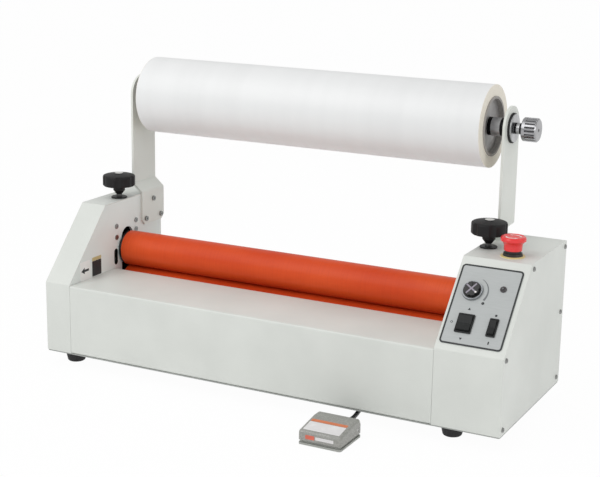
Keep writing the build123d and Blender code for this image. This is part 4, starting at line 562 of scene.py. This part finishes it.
# %% [markdown]
# ## Control panel
# The panel plate is silver-grey film over metal, with a black border line and plain marks: a
# growing arc round the speed dial, arrows for the two directions of the rollers with a ring
# for standing still, and a square and a bar for working by hand and by foot. Printed marks
# are made as skins a tenth of a millimetre thick, drawn flat in millimetres and then laid on
# the plate with one matrix.

# %% Panel plate
BRUSH_LINE = 0.8 * MM
BRUSH_DEPTH = 0.03 * MM
panel = Finish("panel_silver", shade(176, 179, 179), 0.5, {"Metallic": 0.1})
brush = panel.grain(BRUSH_LINE, 3, (0.04, 1, 1))
panel.set("Base Color", panel.blend(brush.between(0.3, 0.7), shade(179, 182, 182), shade(172, 176, 175)))
panel.set("Roughness", brush * 0.1 + 0.36)
panel.relief(brush, BRUSH_DEPTH, 0.3)
panel.on("control_panel")
print("brushed silver on the panel plate")

# %% The slope's plane
PLATE_SIZE = Vector((97.8, 135.1))
PLATE_AT = Vector((52.9, 78.6))
PLATE_THICKNESS = 1.0 * MM
SLOPE_RISE, SLOPE_RUN = 117.5, 109.0
SLOPE = atan2(SLOPE_RISE, SLOPE_RUN)
UPHILL = Vector((0, cos(SLOPE), sin(SLOPE)))
OUTWARD = Vector((0, -sin(SLOPE), cos(SLOPE)))
PLATE_CORNER = span("control_panel")[0] + cos(SLOPE) * PLATE_THICKNESS * UPWARD
INK_LIFT = 0.05


def lay(origin, right, up, out):
    """Matrix that lays a drawing in millimetres on a plane of the object."""
    turn = Matrix((right, up, out)).transposed().to_4x4()
    return Matrix.Translation(origin) @ turn @ Matrix.Scale(MM, 4)


def on_panel(across, along, rise=INK_LIFT):
    """Matrix for a mark on the slope, from the housing's edge and the lower bend."""
    shift = Vector((across, along)) - (PLATE_AT - PLATE_SIZE / 2)
    origin = PLATE_CORNER + MM * (shift.x * RIGHTWARD + shift.y * UPHILL + rise * OUTWARD)
    return lay(origin, RIGHTWARD, UPHILL, OUTWARD)


print("the panel slopes by", round(degrees(SLOPE), 1), "degrees")

# %% [markdown]
# ## Drawing flat marks with bmesh
# Each mark starts as a bmesh of its own: a rounded plate, a ring, an arc or a triangle. A
# plate is a one-face grid with bevelled corners, a ring or an arc is one short edge that is
# spun. Extruding the faces by a hair gives the ink its thickness.

# %% Mark makers
INK_THICKNESS = 0.12
CORNER_STEPS = 5
FULL_TURN = 360


def finish_piece(mesh, name, matrix, finish, body, thickness=INK_THICKNESS):
    """Thicken a flat drawing, lay it in place, and let it ride on a body."""
    raised = bmesh.ops.extrude_face_region(mesh, geom=mesh.faces[:])["geom"]
    corners = [item for item in raised if isinstance(item, bmesh.types.BMVert)]
    bmesh.ops.translate(mesh, verts=corners, vec=(0, 0, thickness))
    bmesh.ops.transform(mesh, matrix=matrix, verts=mesh.verts)
    bmesh.ops.recalc_face_normals(mesh, faces=mesh.faces)
    data = bpy.data.meshes.new(name)
    mesh.to_mesh(data)
    mesh.free()
    piece = bpy.data.objects.new(name, data)
    bpy.context.scene.collection.objects.link(piece)
    finish.on(piece)
    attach(piece, body)


def rounded_plate(width, length, corner):
    """Flat plate with rounded corners."""
    mesh = bmesh.new()
    bmesh.ops.create_grid(mesh, x_segments=1, y_segments=1, size=0.5)
    bmesh.ops.scale(mesh, vec=(width, length, 1), verts=mesh.verts)
    bmesh.ops.bevel(mesh, geom=mesh.verts[:], affect="VERTICES", offset=corner,
                    segments=CORNER_STEPS, profile=0.5, material=-1)
    return mesh


def rounded_line(width, length, corner, line):
    """Outline of a rounded plate, line wide."""
    mesh = rounded_plate(width, length, corner)
    bmesh.ops.inset_individual(mesh, faces=mesh.faces[:], thickness=line, use_even_offset=True)
    inside = max(mesh.faces, key=lambda face: face.calc_area())
    bmesh.ops.delete(mesh, geom=[inside], context="FACES")
    return mesh


def arc_band(inner, outer, start, sweep, steps):
    """Part of a flat ring, from start through sweep degrees."""
    mesh = bmesh.new()
    ends = [mesh.verts.new((radius * cos(radians(start)), radius * sin(radians(start)), 0))
            for radius in (inner, outer)]
    edge = mesh.edges.new(ends)
    bmesh.ops.spin(mesh, geom=[*ends, edge], cent=(0, 0, 0), axis=UPWARD, angle=radians(sweep),
                   steps=steps, use_merge=sweep == FULL_TURN)
    return mesh


def ring(inner, outer, steps=16):
    """Whole flat ring."""
    return arc_band(inner, outer, 0, FULL_TURN, steps)


def turned(mesh, angle):
    """The same drawing, turned by an angle in degrees."""
    matrix = Matrix.Rotation(radians(angle), 3, "Z")
    bmesh.ops.rotate(mesh, verts=mesh.verts, cent=(0, 0, 0), matrix=matrix)
    return mesh


def moved(mesh, across, along=0):
    """The same drawing, moved on its plane."""
    bmesh.ops.translate(mesh, verts=mesh.verts, vec=(across, along, 0))
    return mesh


def triangle(radius, direction):
    """Flat triangle that points in a direction, in degrees."""
    mesh = bmesh.new()
    bmesh.ops.create_circle(mesh, cap_ends=True, segments=3, radius=radius)
    return turned(mesh, direction - 90)


ink = moulded("panel_ink", shade(34, 37, 38), 0.5)
white_ink = moulded("white_ink", shade(240, 236, 232), 0.45)
# The grey prints the speed arc, and it also paints the lamp's glint, a painted highlight.
grey_ink = moulded("grey_ink", shade(112, 115, 117), 0.5)
pale_ink = moulded("pale_ink", shade(150, 144, 156), 0.5)
print("four inks and the makers of marks are ready")

# %% [markdown]
# ## Marks on the panel
# The border line follows the plate's edge. The speed arc is a band that widens as the speed
# grows, so its outer points are moved out by their angle after the spin. Places are given
# across from the housing's inner edge and up from the lower bend.

# %% Border and speed arc
PLATE_ROUNDING = 6.0
BORDER_LINE = 2.7
DIAL_AT = (31.7, 102.3)
ARC_RADIUS = 23.0
ARC_LINE = 0.8
ARC_START = 64
ARC_SWEEP = 96
ARC_STEPS = 24
ARC_GROWTH = 0.1
border = rounded_line(*PLATE_SIZE, PLATE_ROUNDING, BORDER_LINE)
finish_piece(border, "panel_border", on_panel(*PLATE_AT), ink, "body")

speed_arc = arc_band(ARC_RADIUS, ARC_RADIUS + ARC_LINE, ARC_START, -ARC_SWEEP, ARC_STEPS)
for corner in speed_arc.verts:
    if corner.co.length > ARC_RADIUS + ARC_LINE / 2:
        passed = ARC_START - degrees(atan2(corner.co.y, corner.co.x))
        corner.co *= 1 + ARC_GROWTH * passed / ARC_SWEEP
finish_piece(speed_arc, "speed_arc", on_panel(*DIAL_AT), grey_ink, "body")
print("speed arc spans", ARC_SWEEP, "degrees round the dial")

# %% Dot, arrows and settings
PANEL_MARKS = [
    ("speed_mark", ring(0.4, 2.3), (53.0, 84.0)),
    ("arrow_back", triangle(2.6, 90), (35.6, 71.4)),
    ("arrow_forward", triangle(2.6, 270), (35.6, 22.0)),
    ("stop_mark", ring(1.2, 1.9), (14.5, 47.0)),
    ("hand_mark", rounded_plate(3.4, 3.4, 0.9), (78.7, 67.4)),
    ("foot_mark", rounded_plate(2.0, 5.0, 0.8), (79.1, 21.8)),
]
for name, drawing, place in PANEL_MARKS:
    finish_piece(drawing, name, on_panel(*place), ink, "body")
print(len(PANEL_MARKS), "small marks on the panel")

# %% [markdown]
# ## Speed dial and lamp
# The dial's skirt is a dull silver ring under a black fluted grip. It is found by its height
# over the plate and by the distance from the dial's foot, which near the plate is as good as
# the distance from its axis. Two pale bars cross on the top as a painted highlight, where the
# grip's flutes catch the light, and a white dot at the end of one of them is the pointer. The
# lamp has a small grey glint.

# %% Dial
SKIRT_HEIGHT = 3.55 * MM
GRIP_REACH = 14.6 * MM
DIAL_TOP = 8.46
BAR_SIZE = (22.0, 2.3)
BAR_ROUNDING = 0.5
BAR_TURNS = (55, 147)
BAR_SHIFT = 0.03
DOT_LIFT = 0.08
POINTER_TURN = radians(-33)
POINTER_REACH = 9.4
DIAL_FOOT = on_panel(*DIAL_AT, rise=0).to_translation()
dial = moulded("dial_black", shade(26, 26, 27), 0.4)
from_foot = dial.place(shift=DIAL_FOOT)
height = dial.node("VectorMath", {"operation": "DOT_PRODUCT"}, {0: from_foot, 1: OUTWARD}, output="Value")
skirt = (height < SKIRT_HEIGHT) * (dial.length(from_foot) > GRIP_REACH)
dial.paint(skirt, shade(150, 153, 156))
dial.set("Metallic", skirt * 0.8)
dial.on("speed_dial")

# Painted highlight: the two pale bars stand for the light caught by the grip's flutes.
for spoke, turn in enumerate(BAR_TURNS):
    bar = turned(rounded_plate(*BAR_SIZE, BAR_ROUNDING), turn)
    bar_place = on_panel(*DIAL_AT, rise=DIAL_TOP + BAR_SHIFT * spoke)
    finish_piece(bar, f"dial_bar_{spoke}", bar_place, pale_ink, "speed_dial")
dot = moved(ring(0.1, 1.6, 14), POINTER_REACH * cos(POINTER_TURN), POINTER_REACH * sin(POINTER_TURN))
dot_place = on_panel(*DIAL_AT, rise=DIAL_TOP + DOT_LIFT)
finish_piece(dot, "dial_pointer", dot_place, white_ink, "speed_dial")
print("dial stands on the plate at", tuple(round(value, 4) for value in DIAL_FOOT))

# %% Indicator lamp
LAMP_AT = (77.7, 111.6)
LAMP_TOP = 4.2
GLINT_THICKNESS = 0.06
lamp = moulded("lamp_black", shade(44, 40, 42), 0.25, more={"Coat Weight": 0.4})
lamp.on("indicator_lamp")
glint_place = on_panel(*LAMP_AT, rise=LAMP_TOP)
# Painted highlight: the grey ring on the lamp's top is its glint.
finish_piece(ring(0.3, 1.1, 18), "lamp_glint", glint_place, grey_ink, "body", GLINT_THICKNESS)
print("glint on the lamp,", LAMP_TOP, "mm over the plate")

# %% [markdown]
# ## Emergency stop
# Two curved arrows on the red head show that it is turned to let it go again. They lie in
# the dish of the head's top, so they are drawn as arcs and ride on the head.

# %% Twist arrows
DISH_DEPTH = 1.05
TWIST_RADIUS = 11.4
TWIST_LINE = 2.0
TWIST_STARTS = (20, 200)
TWIST_SWEEP = 100
TWIST_STEPS = 14
TIP_RADIUS = 2.8
TIP_AHEAD = 6
TWIST_THICKNESS = 0.3
HEAD = span("estop_base")[2]
HEAD.z = span("estop_head")[1].z - DISH_DEPTH * MM


def on_head(turn):
    """Matrix for a mark in the dish of the head, turned about its axis."""
    return lay(HEAD, RIGHTWARD, BACKWARD, UPWARD) @ Matrix.Rotation(radians(turn), 4, "Z")


for number, turn in enumerate(TWIST_STARTS):
    inner = TWIST_RADIUS - TWIST_LINE / 2
    twist_arc = arc_band(inner, inner + TWIST_LINE, 0, TWIST_SWEEP, TWIST_STEPS)
    finish_piece(twist_arc, f"twist_arc_{number}", on_head(turn), white_ink, "estop_head", TWIST_THICKNESS)
    tip = moved(triangle(TIP_RADIUS, 90), TWIST_RADIUS)
    tip_place = on_head(turn + TWIST_SWEEP + TIP_AHEAD)
    finish_piece(tip, f"twist_tip_{number}", tip_place, white_ink, "estop_head", TWIST_THICKNESS)
print("two twist arrows on a head whose top is at", round(span("estop_head")[1].z, 4), "m")

# %% [markdown]
# ## Label on the inner wall
# Beside the rollers the left wall carries a pale label with an arrow towards the side where
# the print is fed in. It is a rounded plate with a plain arrow of two pieces on it. Behind
# it follow a bare dark plate and a tan one above that.

# %% Feed arrow and wall plates
PRINT_THICKNESS = 0.08


def on_wall(back, height, rise):
    """Matrix for a mark on the left wall: back from the machine's front, up from the floor."""
    origin = Vector((FRAME_HIGH.x + rise * MM, MACHINE_FRONT + back * MM, height * MM))
    return lay(origin, BACKWARD, UPWARD, RIGHTWARD)


label = moulded("label_white", shade(236, 237, 234), 0.4)
band_tan = moulded("band_tan", shade(196, 180, 132), 0.45)
WALL_MARKS = [
    ("feed_label", rounded_plate(28.5, 33.0, 2.0), (46.2, 161.5, 0.02), label, INK_THICKNESS),
    ("feed_arrow_shaft", rounded_plate(12.0, 4.0, 0.4), (50.5, 161.5, 0.16), ink, PRINT_THICKNESS),
    ("feed_arrow_tip", triangle(6.5, 180), (41.0, 161.5, 0.16), ink, PRINT_THICKNESS),
    ("wall_plate", rounded_plate(26.7, 27.0, 1.2), (79.7, 159.3, 0.02), ink, INK_THICKNESS),
    ("wall_band", rounded_plate(26.7, 6.2, 1.2), (79.7, 176.2, 0.02), band_tan, INK_THICKNESS),
]
for name, drawing, place, finish, thickness in WALL_MARKS:
    finish_piece(drawing, name, on_wall(*place), finish, "body", thickness)
print(len(WALL_MARKS), "pieces on the left wall")

# %% [markdown]
# ## Foot pedal
# The treadle is a cast shell in hammered grey paint: the paint pulls into round dimples of
# two or three millimetres as it dries. A Voronoi pattern gives the dimples, and the ridges
# between them are a little darker. A bare pale plate lies on the slope with an orange one
# above it, and two small plates are in front.

# %% Hammered paint
DIMPLES_PER_METRE = 420.0
DIMPLE_DEPTH = 0.4 * MM
hammered = Finish("hammered_grey", shade(158, 159, 154), 0.38, {"Metallic": 0.1})
dimple = hammered.node("TexVoronoi", inputs={"Vector": hammered.place(), "Scale": DIMPLES_PER_METRE})
ridge = dimple.between(0.25, 0.6)
hammered.set("Base Color", hammered.blend(ridge, shade(164, 164, 159), shade(148, 148, 143)))
hammered.set("Roughness", ridge * 0.15 + 0.3)
hammered.relief(dimple, DIMPLE_DEPTH, 0.45)
hammered.on("pedal_treadle")
print("hammered paint with", round(DIMPLES_PER_METRE), "dimples to the metre")

# %% Plates on the pedal
PEDAL_LOW, PEDAL_HIGH, PEDAL_MIDDLE = span("pedal_treadle")
TREAD_RISE, TREAD_RUN = 8.0, 50.0
TREAD_SLOPE = atan2(TREAD_RISE, TREAD_RUN)
TREAD_UP = Vector((0, cos(TREAD_SLOPE), sin(TREAD_SLOPE)))
TREAD_OUT = Vector((0, -sin(TREAD_SLOPE), cos(TREAD_SLOPE)))
TREAD_EDGE = Vector((PEDAL_MIDDLE.x, PEDAL_LOW.y, PEDAL_HIGH.z - TREAD_RISE * MM))
PLATE_LIFT = 0.03
FRONT_PLATE_HEIGHT = 6.5


def on_tread(along):
    """Matrix for a plate on the treadle's slope, up from its front edge."""
    origin = TREAD_EDGE + MM * (along * TREAD_UP + PLATE_LIFT * TREAD_OUT)
    return lay(origin, RIGHTWARD, TREAD_UP, TREAD_OUT)


band_orange = moulded("band_orange", shade(208, 118, 74), 0.4)
band_red = moulded("band_red", shade(214, 104, 84), 0.4)
pale_plate = moulded("pale_plate", shade(224, 222, 222), 0.4)
front_at = Vector((PEDAL_MIDDLE.x, PEDAL_LOW.y, PEDAL_LOW.z)) + MM * (
    FRONT_PLATE_HEIGHT * UPWARD - PLATE_LIFT * BACKWARD)
front_face = lay(front_at, RIGHTWARD, UPWARD, -BACKWARD)
PEDAL_PLATES = [
    ("tread_plate", rounded_plate(60.0, 25.0, 1.2), on_tread(18.0), pale_plate),
    ("tread_band", rounded_plate(60.0, 7.0, 1.2), on_tread(34.8), band_orange),
    ("front_mark", moved(rounded_plate(15.0, 6.5, 1.0), -15.5), front_face, band_red),
    ("front_plate", moved(rounded_plate(30.0, 5.0, 1.0), 8.5), front_face, pale_plate),
]
for name, drawing, matrix, finish in PEDAL_PLATES:
    finish_piece(drawing, name, matrix, finish, "pedal_treadle")
print(len(PEDAL_PLATES), "plates on the pedal")

# %% [markdown]
# ## The pedal's lead
# A lead is one smooth curve of a fixed length. A NURBS spline takes the route's points as
# its control points: out of the strain relief, down to the floor, back under the machine, and
# into a put-away coil behind it, wound inwards on the floor and outwards on top. The coil's
# points come from the same half turns as in the frame, eight to each, and end at the plug.
# The lengths in this step are millimetres until the curve is made.

# %% Route over the floor
CORD_RADIUS = 3.5
FLOOR_RUN = CORD_RADIUS + 0.1
PEDAL_X = PEDAL_MIDDLE.x / MM
FRONT_Y = MACHINE_FRONT / MM
BACK_Y = span("rear_cover")[1].y / MM
LEAD_SWAY = 15.0
COIL_TURNS = 3
COIL_PITCH = 2 * CORD_RADIUS + 0.6
COIL_RADIUS = 50.0
COIL_EXIT = 16.0
COIL_BEHIND = 66.0
COIL_X = PEDAL_X + 0.8 * LEAD_SWAY + COIL_RADIUS
COIL_Y = BACK_Y + COIL_BEHIND
WAY_BACK = COIL_Y - FRONT_Y
RELIEF_Z = 9.5
RELIEF_LENGTH = 10
LEAD_START = (PEDAL_X, PEDAL_HIGH.y / MM + RELIEF_LENGTH, RELIEF_Z)
LEAD_SHARES = [
    (0, -0.03, RELIEF_Z),
    (-0.1, 0.02, 6.4),
    (-0.33, 0.08, FLOOR_RUN),
    (-0.68, 0.16, FLOOR_RUN),
    (-0.95, 0.26, FLOOR_RUN),
    (-1, 0.37, FLOOR_RUN),
    (-0.68, 0.5, FLOOR_RUN),
    (-0.08, 0.63, FLOOR_RUN),
    (0.52, 0.75, FLOOR_RUN),
    (0.8, 0.88, FLOOR_RUN),
]
LEAD = [LEAD_START]
for sway, way, height in LEAD_SHARES:
    LEAD.append((PEDAL_X + sway * LEAD_SWAY, FRONT_Y + way * WAY_BACK, height))
LEAD.append((COIL_X - COIL_RADIUS, COIL_Y - 2 * CORD_RADIUS, FLOOR_RUN))
print(len(LEAD), "points from the pedal to the coil")

# %% Coil
COIL_STEPS = 8


def half_turns():
    """Each half turn of the coil: middle, radius, start angle, lowest and highest height."""
    half = COIL_PITCH / 2
    radius = COIL_RADIUS
    low, high = FLOOR_RUN, FLOOR_RUN + COIL_PITCH
    for _ in range(COIL_TURNS):
        yield 0.0, radius, 180, low, low
        yield half, radius - half, 0, low, low
        radius -= COIL_PITCH
    yield 0.0, radius, 180, low, high
    for turn in range(COIL_TURNS):
        last = turn == COIL_TURNS - 1
        outer = radius + half + (COIL_EXIT / 2 if last else 0)
        yield radius - outer, outer, 0, high, high
        radius += COIL_PITCH
        if not last:
            yield 0.0, radius, 180, high, high


def coil_points():
    """Control points of the coil, a little outside it because the spline cuts their corners."""
    for middle, radius, start, low, high in half_turns():
        swell = radius / cos(pi / COIL_STEPS / 2)
        for step in range(COIL_STEPS):
            share = (step + 0.5) / COIL_STEPS
            angle = radians(start) - share * pi
            height = low + (high - low) * share
            yield (COIL_X + middle + swell * cos(angle), COIL_Y + swell * sin(angle), height)


LAST_MIDDLE, LAST_RADIUS = list(half_turns())[-1][:2]
PLUG_X = COIL_X + LAST_MIDDLE - LAST_RADIUS
PLUG_START = (PLUG_X, COIL_Y + 2 * CORD_RADIUS, FLOOR_RUN + COIL_PITCH)
print("coil of", len(list(half_turns())), "half turns")

# %% Lead


def lead_curve():
    """The whole lead as a curve of one open spline."""
    route = [*LEAD, *coil_points(), PLUG_START]
    curve = bpy.data.curves.new("pedal_lead", "CURVE")
    curve.dimensions = "3D"
    curve.bevel_depth = CORD_RADIUS * MM
    curve.bevel_resolution = 4
    curve.use_fill_caps = True
    curve.resolution_u = 4
    spline = curve.splines.new("NURBS")
    spline.points.add(len(route) - 1)
    for point, place in zip(spline.points, route):
        point.co = (*(value * MM for value in place), 1.0)
    spline.order_u = 3
    spline.use_endpoint_u = True
    cord = bpy.data.objects.new("pedal_lead", curve)
    bpy.context.scene.collection.objects.link(cord)
    return cord


lead = lead_curve()
moulded("cable_black", shade(24, 24, 25), 0.48, 0.9 * MM, 0.06 * MM).on(lead)
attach(lead, "body")
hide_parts("pedal_cord", "pedal_cord_coil")
print("lead of", len(lead.data.splines[0].points), "control points")

# %% [markdown]
# ## Studio
# The photograph is cut out on white, in even light with hardly a shadow. A pale world lights
# the object from all round. One wide lamp in front and above gives the sheets their gradients,
# a low one at the right throws the housing's soft shadow on the deck, and one above lifts the
# left side. The floor is white for the camera but still takes a soft shadow.

# %% Floor
FLOOR_HALF = 12
FLOOR_GLOW = 0.97
WHITE = (1, 1, 1, 1)


def studio_floor():
    """Wide pale floor that keeps the object's shadow."""
    mesh = bmesh.new()
    bmesh.ops.create_grid(mesh, x_segments=1, y_segments=1, size=FLOOR_HALF)
    data = bpy.data.meshes.new("studio_floor")
    mesh.to_mesh(data)
    mesh.free()
    floor = bpy.data.objects.new("studio_floor", data)
    bpy.context.scene.collection.objects.link(floor)
    white = Finish("floor_white", shade(246, 246, 246), 0.9, {"Specular IOR Level": 0.0})
    painted = Socket(white, white.shader.outputs["BSDF"])
    glow = white.node("Emission", inputs={"Color": WHITE, "Strength": 1.0})
    seen = white.node("LightPath", output="Is Camera Ray")
    mirrored = white.node("LightPath", output="Is Glossy Ray")
    factor = seen.math("MAXIMUM", mirrored) * FLOOR_GLOW
    mixed = white.node("MixShader", inputs={0: factor, 1: painted, 2: glow})
    white.join(white.tree.nodes["Material Output"].inputs["Surface"], mixed)
    white.on(floor)


studio_floor()
print("floor of", 2 * FLOOR_HALF, "metres each way")

# %% Lamps and world
WORLD_LIGHT = 0.7
LAMPS = [
    ("key_lamp", (-1.2, -2.2, 2.3), (0, 0, 0.2), 2.0, 25),
    ("side_lamp", (2.6, -0.4, 0.9), (0, 0, 0.15), 0.8, 7),
    ("top_lamp", (-0.7, -0.5, 1.9), (-0.3, 0, 0.2), 1.0, 4),
]


def lamp_panel(name, place, target, size, watts):
    """Square soft lamp that faces a target."""
    light = bpy.data.lights.new(name, "AREA")
    light.size = size
    light.energy = watts
    lamp_object = bpy.data.objects.new(name, light)
    lamp_object.location = place
    lamp_object.rotation_euler = (Vector(target) - Vector(place)).to_track_quat("-Z", "Y").to_euler()
    bpy.context.scene.collection.objects.link(lamp_object)


def studio_world():
    """White behind the object for the camera, and even pale light for the object."""
    world = bpy.data.worlds.new("studio_world")
    bpy.context.scene.world = world
    world.use_nodes = True
    tree = world.node_tree
    even = tree.nodes["Background"]
    even.inputs["Color"].default_value = WHITE
    even.inputs["Strength"].default_value = WORLD_LIGHT
    white = tree.nodes.new("ShaderNodeBackground")
    white.inputs["Color"].default_value = WHITE
    white.inputs["Strength"].default_value = 1.0
    path = tree.nodes.new("ShaderNodeLightPath")
    mix = tree.nodes.new("ShaderNodeMixShader")
    tree.links.new(path.outputs["Is Camera Ray"], mix.inputs[0])
    tree.links.new(even.outputs[0], mix.inputs[1])
    tree.links.new(white.outputs[0], mix.inputs[2])
    tree.links.new(mix.outputs[0], tree.nodes["World Output"].inputs["Surface"])


studio_world()
for lamp_row in LAMPS:
    lamp_panel(*lamp_row)
bpy.context.scene.view_settings.view_transform = "Standard"
print(len(LAMPS), "lamps of", sum(row[-1] for row in LAMPS), "watts together")
